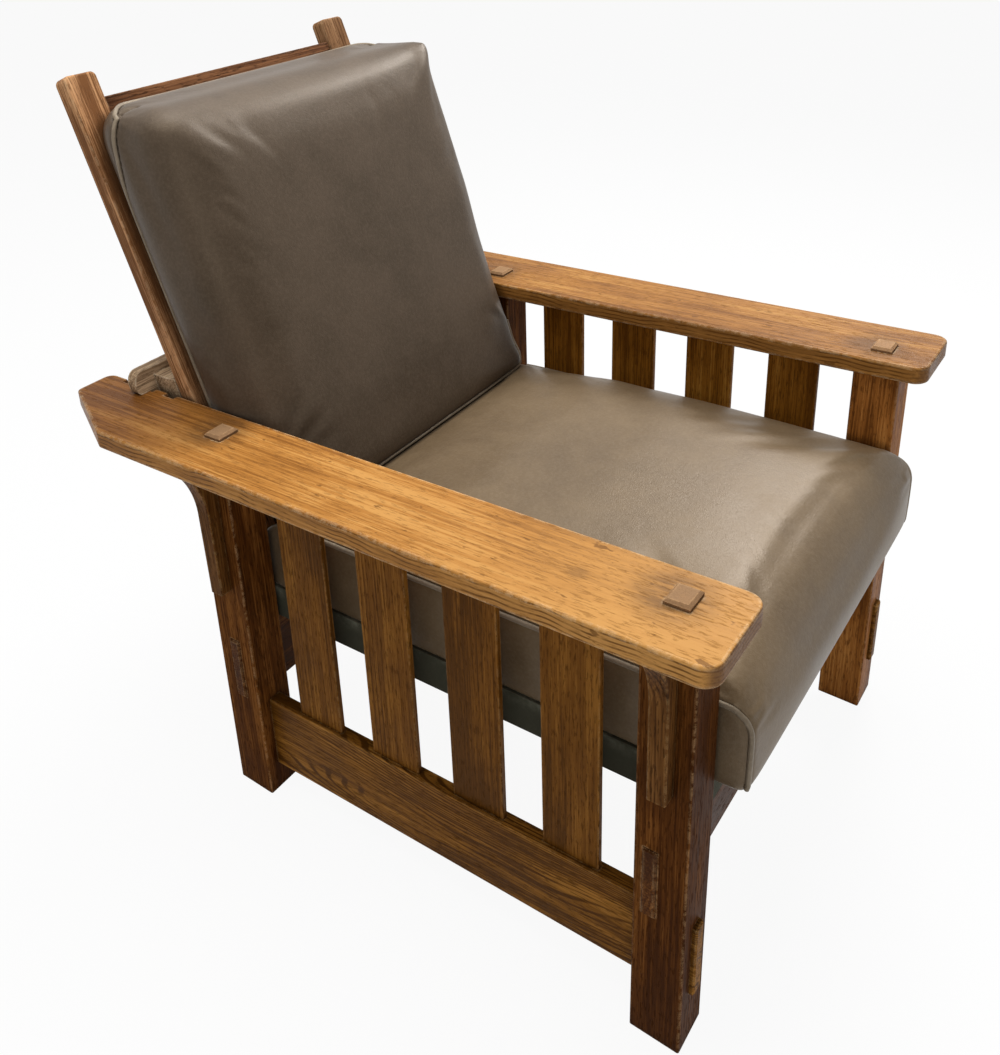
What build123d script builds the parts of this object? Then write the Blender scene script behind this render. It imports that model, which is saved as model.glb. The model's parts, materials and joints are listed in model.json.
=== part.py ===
from build123d import *
import os
from math import atan2, cos, radians, sin, tan

os.makedirs("parts", exist_ok=True)

# Stance: the rear legs are cut short, so the chair leans back on level ground
rear_leg_cut = 30.0

# Clearances
joint_gap = 0.2
rest_gap = 0.3
pin_gap = 0.05
tenon_end_gap = 1.0
cut_over = 5.0

# Posts
post_width = 58.0
post_depth = 60.0
post_opening = 584.0
base_depth = 675.0
post_ease = 2.5
post_head_width = 32.0
post_head_depth = 27.0
post_head_proud = 6.0
head_chamfer = 3.0

# Arms
arm_height = 584.0
arm_thickness = 24.0
arm_width = 124.0
arm_opening = 552.0
arm_tail = 44.9
arm_front_overhang = 35.0
arm_front_radius = 20.0
arm_clip_width = 65.0
arm_clip_length = 125.0
arm_clip_radius = 9.0
arm_tip_radius = 14.0
arm_ease = 3.0

# Side rails
side_rail_bottom = 69.0
side_rail_height = 114.0
side_rail_thickness = 20.0
side_tenon_height = 100.0
side_tenon_thickness = 17.6
side_tenon_proud = 6.0
rail_ease = 2.0

# Cross rails
cross_rail_height = 109.0
cross_rail_thickness = 25.0
front_rail_setback = 29.0
cross_tenon_height = 94.0
cross_tenon_thickness = 16.0
cross_tenon_proud = 3.0
tenon_chamfer = 2.0

# Side slats
slat_count = 4
slat_width = 72.0
slat_thickness = 8.0
slat_housing = 10.0
slat_ease = 1.2

# Corbels
corbel_thickness = 21.0
corbel_length = 190.0
corbel_top_reach = 39.0
corbel_foot_reach = 17.0
corbel_lip = 6.0
corbel_curve_drop = 62.0
corbel_curve_share = 0.42
corbel_sag_share = 0.66
corbel_ease = 1.2

# Drop-in seat platform
platform_height = 48.0
platform_side_gap = 7.0
platform_front_setback = 12.0
platform_bearing = 9.5
seat_rail_width = 45.0
cover_thickness = 1.5
cover_corner_radius = 6.0
webbing_width = 50.0
webbing_thickness = 1.5
webbing_gap = 9.0
webbing_landing = 30.0
seat_tenon_length = 25.0
seat_tenon_thickness = 14.0
seat_tenon_height = 26.0
corner_block_leg = 60.0
corner_block_height = 30.0

# Back frame and its pivot
back_slope = 20.5
pivot_setback = 12.0
pivot_rise = 22.0
pivot_pin_radius = 6.0
pivot_pin_depth = 32.0
pivot_head_radius = 10.0
pivot_head_thickness = 4.0
pivot_head_chamfer = 1.0
spacer_radius = 10.0
stile_span = 542.0
stile_width = 50.0
stile_thickness = 24.0
stile_length = 728.0
stile_foot = 14.0
stile_foot_radius = 10.0
stile_top_radius = 8.0
stile_ease = 3.0
back_rail_height = 60.0
back_rail_thickness = 16.0
back_rail_recess = 2.5
top_rail_drop = 35.0
back_slat_count = 4
back_slat_lift = 60.0
back_tenon_length = 28.0
back_tenon_thickness = 9.0
back_tenon_height = 44.0
back_rail_ease = 1.5

# Support bar and its notches
bar_thickness = 15.0
bar_depth = 55.3
bar_rise = 28.0
bar_shoulder_drop = 10.0
bar_hang = 26.0
bar_end_clearance = 5.0
bar_ear_reach = 28.0
bar_ear_radius = 18.0
bar_ear_tip_radius = 6.0
bar_ease = 1.5
notch_count = 3
notch_depth = 8.0
notch_pitch = 42.0
notch_shoulder_radius = 4.0
notch_side_gap = 0.5

# Seat cushion: a side outline at each station across the seat, drawn in at both ends
cushion_side_gap = 6.0
cushion_nose_overhang = 33.0
cushion_nose_swell = 7.0
cushion_rear_gap = 2.0
cushion_bottom_radius = 12.0
cushion_top_radius = 36.0
cushion_rear_radius = 18.0
cushion_edge_height = 104.0
cushion_crown = 47.0
cushion_edge_bow = 3.0
cushion_junction_drop = 1.0
cushion_junction_length = 100.0
cushion_rear_drop = 25.0
cushion_front_fullness_share = 0.62
cushion_crown_place_share = 0.5
cushion_flat_power = 6
cushion_edge_power = 0.7
cushion_draw = 7.0
# Each station: share of the half width, share of the drawn-in edge
cushion_station_shares = (
    (1.0, 1.0),
    (0.988, 0.3),
    (0.965, 0.0),
    (0.93, 0.0),
    (0.87, 0.0),
    (0.78, 0.0),
    (0.65, 0.0),
    (0.45, 0.0),
    (0.2, 0.0),
)

# Back cushion: an outline at each station up the back
back_cushion_lift = 104.0
back_cushion_drop = 54.0
back_cushion_rear_half = 252.0
back_cushion_welt_half = 272.0
back_cushion_welt_out = 36.0
back_cushion_front_half = 270.0
back_cushion_corner = 24.0
back_cushion_side_bulge = 2.0
back_cushion_edge = 138.0
back_cushion_crown = 10.0
# Each station: share of the length, share of the width, share of the thickness
back_cushion_station_shares = (
    (0.0, 0.94, 0.72),
    (0.015, 0.96, 0.8),
    (0.04, 0.975, 0.87),
    (0.09, 0.985, 0.915),
    (0.18, 0.995, 0.95),
    (0.33, 1.0, 0.98),
    (0.5, 1.0, 1.0),
    (0.66, 1.0, 1.02),
    (0.79, 1.0, 1.035),
    (0.88, 1.0, 1.035),
    (0.93, 0.99, 1.0),
    (0.955, 0.98, 0.87),
    (0.975, 0.97, 0.69),
    (0.99, 0.955, 0.5),
    (1.0, 0.935, 0.37),
)

HANDS = (("right", -1), ("left", 1))

# Frame sizes that follow from the ones above
tip_back = atan2(rear_leg_cut, base_depth)
post_inner = post_opening / 2
post_middle = post_inner + post_width / 2
post_outer = post_inner + post_width
front_post_y = post_depth / 2
rear_post_y = base_depth - post_depth / 2
arm_bottom = arm_height - arm_thickness
arm_inner = arm_opening / 2
arm_outer = arm_inner + arm_width
side_rail_top = side_rail_bottom + side_rail_height
side_rail_middle = side_rail_bottom + side_rail_height / 2
cross_rail_top = side_rail_top + cross_rail_height
cross_rail_middle = side_rail_top + cross_rail_height / 2
front_rail_y = front_rail_setback + cross_rail_thickness / 2
rear_rail_y = rear_post_y
platform_top = cross_rail_top + platform_height
platform_half = post_inner - platform_side_gap
platform_rear = rear_rail_y - cross_rail_thickness / 2 + platform_bearing

# Back sizes that follow
pivot_height = cross_rail_top + pivot_rise
back_cushion_length = stile_length - back_cushion_drop - back_cushion_lift
slope = radians(back_slope)
lean = slope + tip_back
pivot_y = base_depth - pivot_setback
stile_outer = stile_span / 2
stile_inner = stile_outer - stile_width
stile_middle = (stile_outer + stile_inner) / 2

# Support bar sizes that follow, measured out of the back's front face
bar_front_out = -stile_thickness - rest_gap
bar_rear_out = bar_front_out - bar_depth
bar_tongue_out = bar_rear_out + bar_thickness

# The chair stands with its feet on the ground and the origin in the middle of its outline
nose_z = platform_top + cushion_edge_height / 3
nose_reach = (cushion_nose_overhang + cushion_nose_swell) * cos(tip_back) - nose_z * sin(tip_back)
stile_tip_y = pivot_y + stile_length * sin(slope) + stile_thickness / 2 * cos(slope)
stile_tip_z = pivot_height + stile_length * cos(slope) - stile_thickness / 2 * sin(slope)
stile_reach = stile_tip_y * cos(tip_back) + stile_tip_z * sin(tip_back)
back_shift = (nose_reach - stile_reach) / 2

# The chair's own frame: x across, y from the front posts' faces to the rear, z up from their feet
STANCE = Plane(origin=(0, back_shift, 0), x_dir=(1, 0, 0), z_dir=(0, sin(tip_back), cos(tip_back)))
ACROSS = Axis.X
LENGTHWISE = Axis((0, 0, 0), STANCE.y_dir)
UPRIGHT = Axis((0, 0, 0), STANCE.z_dir)


def flat(height):
    """A level plane of the chair's own frame, seen from above as x and y."""
    return STANCE.offset(height)


def side(x):
    """A plane across the chair, seen from its left as y and z."""
    origin = STANCE.from_local_coords((x, 0, 0))
    return Plane(origin=origin, x_dir=STANCE.y_dir, z_dir=(1, 0, 0))


def front(y):
    """A plane along the chair, seen from the front as x and z."""
    origin = STANCE.from_local_coords((0, y, 0))
    return Plane(origin=origin, x_dir=(1, 0, 0), z_dir=-STANCE.y_dir)


# The back's own frame: x across, then up the slope, then out of its front face
BACK_OUT = Vector(0, -cos(lean), sin(lean))
BACK_UP = Vector(0, sin(lean), cos(lean))
PIVOT = STANCE.from_local_coords(Vector(0, pivot_y, pivot_height))
BACK = Plane(origin=PIVOT + BACK_OUT * (stile_thickness / 2), x_dir=(1, 0, 0), z_dir=BACK_OUT)
SLOPE = Axis((0, 0, 0), BACK_UP)


def across_back(up):
    """A plane square to the slope, seen as x and the distance behind the front face."""
    return Plane(origin=BACK.origin + BACK_UP * up, x_dir=(1, 0, 0), z_dir=BACK_UP)


def hinge_plane(x):
    """A plane across the chair through the pivot's centre line."""
    return Plane(origin=(x, PIVOT.Y, PIVOT.Z), x_dir=(0, 1, 0), z_dir=(1, 0, 0))


def block(x_span, y_span, z_span, mode=Mode.ADD):
    """A block between two values each way, in the frame of the part that it joins."""
    spans = (x_span, y_span, z_span)
    middle = tuple((low + high) / 2 for low, high in spans)
    size = tuple(abs(high - low) for low, high in spans)
    with Locations(middle):
        Box(*size, mode=mode)


def about(middle, size):
    """The two ends of a length centred on a place."""
    return middle - size / 2, middle + size / 2


def save(piece, name):
    """Names a finished piece and writes it."""
    piece.part.label = name
    export_step(piece.part, f"parts/{name}.step")


# Posts, with a through-tenon for the arm and mortises for the rails
cross_mortise_height = cross_tenon_height + 2 * joint_gap
cross_mortise_thickness = cross_tenon_thickness + 2 * joint_gap
side_mortise_height = side_tenon_height + 2 * joint_gap
side_mortise_thickness = side_tenon_thickness + 2 * joint_gap
head_top = arm_height + post_head_proud

for place, post_y, cross_y in (("front", front_post_y, front_rail_y), ("rear", rear_post_y, rear_rail_y)):
    for hand, sign in HANDS:
        with BuildPart(STANCE) as post:
            block(about(sign * post_middle, post_width), about(post_y, post_depth), (-cut_over, arm_bottom))
            fillet(post.edges().filter_by(UPRIGHT), post_ease)
            block(
                about(sign * post_middle, post_head_width),
                about(post_y, post_head_depth),
                (arm_bottom, head_top),
            )
            chamfer(post.faces().sort_by(UPRIGHT)[-1].edges(), head_chamfer)
            block(
                about(sign * post_middle, post_width + 2 * cut_over),
                about(cross_y, cross_mortise_thickness),
                about(cross_rail_middle, cross_mortise_height),
                mode=Mode.SUBTRACT,
            )
            block(
                about(sign * post_middle, side_mortise_thickness),
                about(post_y, post_depth + 2 * cut_over),
                about(side_rail_middle, side_mortise_height),
                mode=Mode.SUBTRACT,
            )
            if place == "rear":
                with BuildSketch(hinge_plane(sign * (post_inner - cut_over))):
                    Circle(pivot_pin_radius + pin_gap)
                extrude(amount=sign * (pivot_pin_depth + cut_over + tenon_end_gap), mode=Mode.SUBTRACT)
            split(bisect_by=Plane.XY, keep=Keep.TOP)
        save(post, f"post_{place}_{hand}")

# Arms: flat boards with a clipped rear corner, the posts' mortises and the bar's notches
slat_run = rear_post_y - front_post_y - post_depth
slat_space = (slat_run - slat_count * slat_width) / (slat_count + 1)
slat_places = [
    front_post_y + post_depth / 2 + slat_space * (n + 1) + slat_width * (n + 0.5) for n in range(slat_count)
]
slat_mortise_width = slat_width + 2 * joint_gap
slat_mortise_thickness = slat_thickness + 2 * joint_gap


def slope_y(out, height):
    """Where a plane parallel to the back's front face crosses a level, lengthwise."""
    at_pivot = pivot_y - (out + stile_thickness / 2) / cos(slope)
    return at_pivot + (height - pivot_height) * tan(slope)


bar_rear_y = slope_y(bar_rear_out, arm_height)
bar_front_y = slope_y(bar_tongue_out, arm_height)
notch_width = bar_rear_y - bar_front_y + 2 * notch_side_gap
notch_middle = (bar_rear_y + bar_front_y) / 2
notch_places = [notch_middle + notch_pitch * (n - (notch_count - 1) / 2) for n in range(notch_count)]

notch_half = notch_width / 2
arm_rear = notch_places[-1] + arm_tail


def notch_outline(sign, place):
    """A notch in the arm's inner edge, with a rounded shoulder on both sides of its mouth."""
    edge = sign * arm_inner
    mouth = notch_half + notch_shoulder_radius
    round_in = notch_shoulder_radius * (1 - cos(radians(45)))
    with BuildLine() as outline:
        Polyline(
            (edge + sign * notch_shoulder_radius, place - notch_half),
            (edge + sign * notch_depth, place - notch_half),
            (edge + sign * notch_depth, place + notch_half),
            (edge + sign * notch_shoulder_radius, place + notch_half),
        )
        ThreePointArc(
            (edge + sign * notch_shoulder_radius, place + notch_half),
            (edge + sign * round_in, place + notch_half + round_in),
            (edge, place + mouth),
        )
        Polyline(
            (edge, place + mouth),
            (edge - sign * cut_over, place + mouth),
            (edge - sign * cut_over, place - mouth),
            (edge, place - mouth),
        )
        ThreePointArc(
            (edge, place - mouth),
            (edge + sign * round_in, place - notch_half - round_in),
            (edge + sign * notch_shoulder_radius, place - notch_half),
        )
    make_face(outline.edges())


arm_radii = (arm_front_radius, arm_front_radius, arm_clip_radius, arm_clip_radius, arm_tip_radius)

for hand, sign in HANDS:
    arm_corners = (
        (sign * arm_inner, -arm_front_overhang),
        (sign * arm_outer, -arm_front_overhang),
        (sign * arm_outer, arm_rear - arm_clip_length),
        (sign * (arm_outer - arm_clip_width), arm_rear),
        (sign * arm_inner, arm_rear),
    )
    with BuildPart(STANCE) as arm:
        with BuildSketch(flat(arm_bottom)):
            with BuildLine():
                FilletPolyline(*arm_corners, radius=list(arm_radii), close=True)
            make_face()
        extrude(amount=arm_thickness)
        for place in notch_places:
            with BuildSketch(flat(arm_height)) as notch:
                notch_outline(sign, place)
            notch_run = arm_thickness + cut_over
            extrude(notch.sketch, amount=notch_run, dir=-BACK_UP, both=True, mode=Mode.SUBTRACT)
        fillet(arm.faces().sort_by(UPRIGHT)[-1].edges(), arm_ease)
        fillet(arm.faces().sort_by(UPRIGHT)[0].edges(), arm_ease)
        for post_y in (front_post_y, rear_post_y):
            block(
                about(sign * post_middle, post_head_width + 2 * joint_gap),
                about(post_y, post_head_depth + 2 * joint_gap),
                (arm_bottom - cut_over, arm_height + cut_over),
                mode=Mode.SUBTRACT,
            )
        for slat_y in slat_places:
            block(
                about(sign * post_middle, slat_mortise_thickness),
                about(slat_y, slat_mortise_width),
                (arm_bottom - cut_over, arm_bottom + slat_housing + tenon_end_gap),
                mode=Mode.SUBTRACT,
            )
    save(arm, f"arm_{hand}")

# Side rails, with through-tenons at both ends and mortises for the slats
rail_front = front_post_y + post_depth / 2
rail_rear = rear_post_y - post_depth / 2

for hand, sign in HANDS:
    with BuildPart(STANCE) as side_rail:
        block(
            about(sign * post_middle, side_rail_thickness),
            (rail_front + joint_gap, rail_rear - joint_gap),
            about(side_rail_middle, side_rail_height),
        )
        fillet(side_rail.edges().filter_by(LENGTHWISE), rail_ease)
        block(
            about(sign * post_middle, side_tenon_thickness),
            (-side_tenon_proud, base_depth + side_tenon_proud),
            about(side_rail_middle, side_tenon_height),
        )
        chamfer(side_rail.faces().sort_by(LENGTHWISE)[0].edges(), tenon_chamfer)
        chamfer(side_rail.faces().sort_by(LENGTHWISE)[-1].edges(), tenon_chamfer)
        for slat_y in slat_places:
            block(
                about(sign * post_middle, slat_mortise_thickness),
                about(slat_y, slat_mortise_width),
                (side_rail_top - slat_housing - tenon_end_gap, side_rail_top + cut_over),
                mode=Mode.SUBTRACT,
            )
    save(side_rail, f"side_rail_{hand}")

# Side slats, housed in the side rail and in the arm
for hand, sign in HANDS:
    for number, slat_y in enumerate(slat_places, start=1):
        with BuildPart(STANCE) as slat:
            block(
                about(sign * post_middle, slat_thickness),
                about(slat_y, slat_width),
                (side_rail_top - slat_housing, arm_bottom + slat_housing),
            )
            fillet(slat.edges().filter_by(UPRIGHT), slat_ease)
        save(slat, f"slat_{hand}_{number}")

# Corbels: brackets on the posts' outer faces, under the arms
corbel_top = arm_bottom - joint_gap
corbel_back = post_outer + joint_gap
corbel_curve_top = corbel_top - corbel_lip
corbel_curve_foot = corbel_curve_top - corbel_curve_drop
corbel_waist_reach = corbel_foot_reach + rail_ease
corbel_sag_reach = corbel_waist_reach + (corbel_top_reach - corbel_waist_reach) * (1 - corbel_sag_share)
corbel_sag_height = corbel_curve_top - corbel_curve_drop * corbel_curve_share

for place, post_y in (("front", front_post_y), ("rear", rear_post_y)):
    for hand, sign in HANDS:
        with BuildPart(STANCE) as corbel:
            with BuildSketch(front(post_y)) as corbel_outline:
                with BuildLine():
                    Polyline(
                        (sign * (post_outer + corbel_waist_reach), corbel_curve_foot),
                        (sign * (post_outer + corbel_foot_reach), corbel_top - corbel_length),
                        (sign * corbel_back, corbel_top - corbel_length),
                        (sign * corbel_back, corbel_top),
                        (sign * (post_outer + corbel_top_reach), corbel_top),
                        (sign * (post_outer + corbel_top_reach), corbel_curve_top),
                    )
                    ThreePointArc(
                        (sign * (post_outer + corbel_top_reach), corbel_curve_top),
                        (sign * (post_outer + corbel_sag_reach), corbel_sag_height),
                        (sign * (post_outer + corbel_waist_reach), corbel_curve_foot),
                    )
                make_face()
            extrude(amount=corbel_thickness / 2, both=True)
            sides = corbel.faces().sort_by(LENGTHWISE)
            rims = sides[0].edges() + sides[-1].edges()
            free_rims = rims.filter_by(lambda edge: abs(edge.center().X) > corbel_back + corbel_ease)
            chamfer(free_rims, corbel_ease)
        save(corbel, f"corbel_{place}_{hand}")

# Cross rails, with through-tenons that end proud of the posts' outer faces
for name, cross_y in (("front_rail", front_rail_y), ("rear_rail", rear_rail_y)):
    with BuildPart(STANCE) as cross_rail:
        block(
            about(0, 2 * (post_inner - joint_gap)),
            about(cross_y, cross_rail_thickness),
            about(cross_rail_middle, cross_rail_height),
        )
        fillet(cross_rail.edges().filter_by(ACROSS), rail_ease)
        block(
            about(0, 2 * (post_outer + cross_tenon_proud)),
            about(cross_y, cross_tenon_thickness),
            about(cross_rail_middle, cross_tenon_height),
        )
        chamfer(cross_rail.faces().sort_by(ACROSS)[0].edges(), tenon_chamfer)
        chamfer(cross_rail.faces().sort_by(ACROSS)[-1].edges(), tenon_chamfer)
    save(cross_rail, name)

# Drop-in seat frame: two long side rails with two short rails tenoned between them
frame_bottom = cross_rail_top + joint_gap
frame_half = platform_half - cover_thickness - joint_gap
frame_front = platform_front_setback + cover_thickness + joint_gap
frame_rear = platform_rear - cover_thickness - joint_gap
cover_bottom = platform_top - cover_thickness
crosswise_bottom = cover_bottom - joint_gap - webbing_thickness
lengthwise_bottom = crosswise_bottom - joint_gap - webbing_thickness
side_frame_top = crosswise_bottom - joint_gap
end_frame_top = lengthwise_bottom - joint_gap
seat_rail_inner = frame_half - seat_rail_width
seat_rail_middle_z = (frame_bottom + end_frame_top) / 2
front_frame_y = frame_front + seat_rail_width / 2
rear_frame_y = frame_rear - seat_rail_width / 2

for hand, sign in HANDS:
    with BuildPart(STANCE) as seat_side:
        block(
            about(sign * (frame_half - seat_rail_width / 2), seat_rail_width),
            (frame_front, frame_rear),
            (frame_bottom, side_frame_top),
        )
        fillet(seat_side.edges().filter_by(LENGTHWISE), rail_ease)
        for rail_y in (front_frame_y, rear_frame_y):
            block(
                about(sign * seat_rail_inner, 2 * (seat_tenon_length + tenon_end_gap)),
                about(rail_y, seat_tenon_thickness + 2 * joint_gap),
                about(seat_rail_middle_z, seat_tenon_height + 2 * joint_gap),
                mode=Mode.SUBTRACT,
            )
    save(seat_side, f"seat_frame_{hand}")

for place, rail_y in (("front", front_frame_y), ("rear", rear_frame_y)):
    with BuildPart(STANCE) as seat_end:
        block(
            about(0, 2 * (seat_rail_inner - joint_gap)),
            about(rail_y, seat_rail_width),
            (frame_bottom, end_frame_top),
        )
        fillet(seat_end.edges().filter_by(ACROSS), rail_ease)
        block(
            about(0, 2 * (seat_rail_inner + seat_tenon_length)),
            about(rail_y, seat_tenon_thickness),
            about(seat_rail_middle_z, seat_tenon_height),
        )
    save(seat_end, f"seat_frame_{place}")

# Glue blocks in the four inner corners of the seat frame
block_x = seat_rail_inner - joint_gap
block_ends = (
    (frame_front + seat_rail_width + joint_gap, 1),
    (frame_rear - seat_rail_width - joint_gap, -1),
)

with BuildPart() as corner_blocks:
    for block_y, inward in block_ends:
        for _, sign in HANDS:
            with BuildSketch(flat(seat_rail_middle_z - corner_block_height / 2)):
                with BuildLine():
                    Polyline(
                        (sign * block_x, block_y),
                        (sign * (block_x - corner_block_leg), block_y),
                        (sign * block_x, block_y + inward * corner_block_leg),
                        close=True,
                    )
                make_face()
    extrude(amount=corner_block_height)
save(corner_blocks, "seat_corner_blocks")

# Webbing: strips from rail to rail, the crosswise ones over the lengthwise ones
webbing_pitch = webbing_width + webbing_gap
lengthwise_count = int(2 * (seat_rail_inner - webbing_gap) / webbing_pitch)
crosswise_run = frame_rear - frame_front - 2 * (seat_rail_width + webbing_gap)
crosswise_count = int(crosswise_run / webbing_pitch)
frame_middle_y = (frame_front + frame_rear) / 2
webbing_across = 2 * (seat_rail_inner + webbing_landing)
webbing_along = frame_rear - frame_front - 2 * (seat_rail_width - webbing_landing)

with BuildPart(STANCE) as lengthwise:
    for n in range(lengthwise_count):
        strip_x = webbing_pitch * (n - (lengthwise_count - 1) / 2)
        block(
            about(strip_x, webbing_width),
            about(frame_middle_y, webbing_along),
            (lengthwise_bottom, lengthwise_bottom + webbing_thickness),
        )
save(lengthwise, "webbing_lengthwise")

with BuildPart(STANCE) as crosswise:
    for n in range(crosswise_count):
        strip_y = frame_middle_y + webbing_pitch * (n - (crosswise_count - 1) / 2)
        block(
            about(0, webbing_across),
            about(strip_y, webbing_width),
            (crosswise_bottom, crosswise_bottom + webbing_thickness),
        )
save(crosswise, "webbing_crosswise")

# Cloth cover over the top and the four sides of the frame
with BuildPart(STANCE) as cover:
    block(
        about(0, 2 * platform_half),
        (platform_front_setback, platform_rear),
        (frame_bottom, platform_top),
    )
    fillet(cover.edges().filter_by(UPRIGHT), cover_corner_radius)
    fillet(cover.faces().sort_by(UPRIGHT)[-1].edges(), cover_thickness)
    block(
        about(0, 2 * (frame_half + joint_gap)),
        (frame_front - joint_gap, frame_rear + joint_gap),
        (frame_bottom - cut_over, cover_bottom),
        mode=Mode.SUBTRACT,
    )
save(cover, "platform_cover")

# Back stiles: they turn on the pins, with mortises for the rails between them
back_slat_top = stile_length - top_rail_drop - back_rail_height
back_slat_pitch = (back_slat_top - back_slat_lift) / back_slat_count
back_rail_places = [
    back_slat_lift + back_slat_pitch * n + back_rail_height / 2 for n in range(back_slat_count)
]
top_rail_place = stile_length - top_rail_drop - back_rail_height / 2
back_rail_out = -back_rail_recess - back_rail_thickness / 2

for hand, sign in HANDS:
    with BuildPart(BACK) as stile:
        block(
            about(sign * stile_middle, stile_width),
            (-stile_foot, stile_length),
            (-stile_thickness, 0),
        )
        crosswise_edges = stile.edges().filter_by(ACROSS).sort_by(SLOPE)
        fillet(crosswise_edges[:2], stile_foot_radius)
        top_corners = stile.edges().filter_by(Axis(BACK.origin, BACK.z_dir)).sort_by(SLOPE)[-2:]
        fillet(top_corners, stile_top_radius)
        front_rim = stile.faces().sort_by(Axis(BACK.origin, BACK.z_dir))[-1].edges()
        rear_rim = stile.faces().sort_by(Axis(BACK.origin, BACK.z_dir))[0].edges()
        fillet(front_rim + rear_rim, stile_ease)
        for rail_up in back_rail_places + [top_rail_place]:
            block(
                about(sign * stile_inner, 2 * (back_tenon_length + tenon_end_gap)),
                about(rail_up, back_tenon_height + 2 * joint_gap),
                about(back_rail_out, back_tenon_thickness + 2 * joint_gap),
                mode=Mode.SUBTRACT,
            )
        with BuildSketch(hinge_plane(0)) as pin_bore:
            Circle(pivot_pin_radius + pin_gap)
        extrude(pin_bore.sketch, amount=sign * (stile_outer + cut_over), mode=Mode.SUBTRACT)
    save(stile, f"back_stile_{hand}")

# Back rails: the top rail that shows and the slats behind the cushion
back_rails = [(f"back_slat_{n}", rail_up) for n, rail_up in enumerate(back_rail_places, start=1)]
back_rails.append(("top_rail", top_rail_place))

for name, rail_up in back_rails:
    with BuildPart(BACK) as back_rail:
        block(
            about(0, 2 * (stile_inner - joint_gap)),
            about(rail_up, back_rail_height),
            about(back_rail_out, back_rail_thickness),
        )
        fillet(back_rail.edges().filter_by(ACROSS), back_rail_ease)
        block(
            about(0, 2 * (stile_inner + back_tenon_length)),
            about(rail_up, back_tenon_height),
            about(back_rail_out, back_tenon_thickness),
        )
    save(back_rail, name)

# Pivots: a headed pin through the stile and a spacer into the rear post
pin_tip = post_inner + pivot_pin_depth
head_face = stile_inner - rest_gap
spacer_inner = stile_outer + rest_gap
spacer_outer = post_inner - joint_gap

for hand, sign in HANDS:
    with BuildPart() as pin:
        with BuildSketch(hinge_plane(sign * (head_face - pivot_head_thickness))):
            Circle(pivot_pin_radius)
        extrude(amount=sign * (pin_tip - head_face + pivot_head_thickness))
        with BuildSketch(hinge_plane(sign * (head_face - pivot_head_thickness))):
            Circle(pivot_head_radius)
        extrude(amount=sign * pivot_head_thickness)
        head_rim = pin.edges().filter_by(GeomType.CIRCLE).sort_by(lambda edge: abs(edge.center().X))[0]
        chamfer(head_rim, pivot_head_chamfer)
    save(pin, f"pivot_pin_{hand}")

    with BuildPart() as spacer:
        with BuildSketch(hinge_plane(sign * spacer_inner)):
            Circle(spacer_radius)
            Circle(pivot_pin_radius + pin_gap, mode=Mode.SUBTRACT)
        extrude(amount=sign * (spacer_outer - spacer_inner))
    save(spacer, f"pivot_spacer_{hand}")

# Support bar: it hangs in the notches by its ears and meets the stiles with its front face
bar_top = arm_height + bar_rise
bar_shoulder = bar_top - bar_shoulder_drop
bar_bottom = arm_height - bar_hang
bar_body_half = arm_inner - bar_end_clearance
bar_tongue_half = arm_inner + notch_depth - rest_gap
bar_ear_half = arm_inner + bar_ear_reach


def bar_slab(front_out, top, half_length):
    """A slab of the bar between a plane parallel to the back and the bar's rear face."""
    with BuildSketch(side(0)) as section:
        with BuildLine() as outline:
            Polyline(
                (slope_y(front_out, bar_bottom), bar_bottom),
                (slope_y(front_out, top), top),
                (slope_y(bar_rear_out, top), top),
                (slope_y(bar_rear_out, bar_bottom), bar_bottom),
                close=True,
            )
        make_face(outline.edges())
    extrude(section.sketch, amount=half_length, both=True)


with BuildPart(STANCE) as support_bar:
    bar_slab(bar_tongue_out, bar_top, bar_ear_half)
    for _, sign in HANDS:
        block(
            (sign * bar_tongue_half, sign * (bar_ear_half + cut_over)),
            (bar_front_y - bar_depth, bar_rear_y + bar_depth),
            (bar_bottom - cut_over, arm_height + rest_gap),
            mode=Mode.SUBTRACT,
        )
    ear_ends = support_bar.edges().filter_by(LENGTHWISE)
    ear_ends = ear_ends.filter_by(lambda edge: abs(edge.center().X) > bar_ear_half - bar_ease)
    fillet(ear_ends.group_by(UPRIGHT)[-1], bar_ear_radius)
    fillet(ear_ends.group_by(UPRIGHT)[0], bar_ear_tip_radius)
    bar_slab(bar_front_out, bar_shoulder, bar_body_half)
save(support_bar, "support_bar")

# Seat cushion
cushion_half = post_inner - cushion_side_gap
cushion_bottom = platform_top + rest_gap
cushion_edge_top = cushion_bottom + cushion_edge_height
cushion_rear = platform_rear - cushion_rear_gap
diagonal_share = 1 - cos(radians(45))


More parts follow.
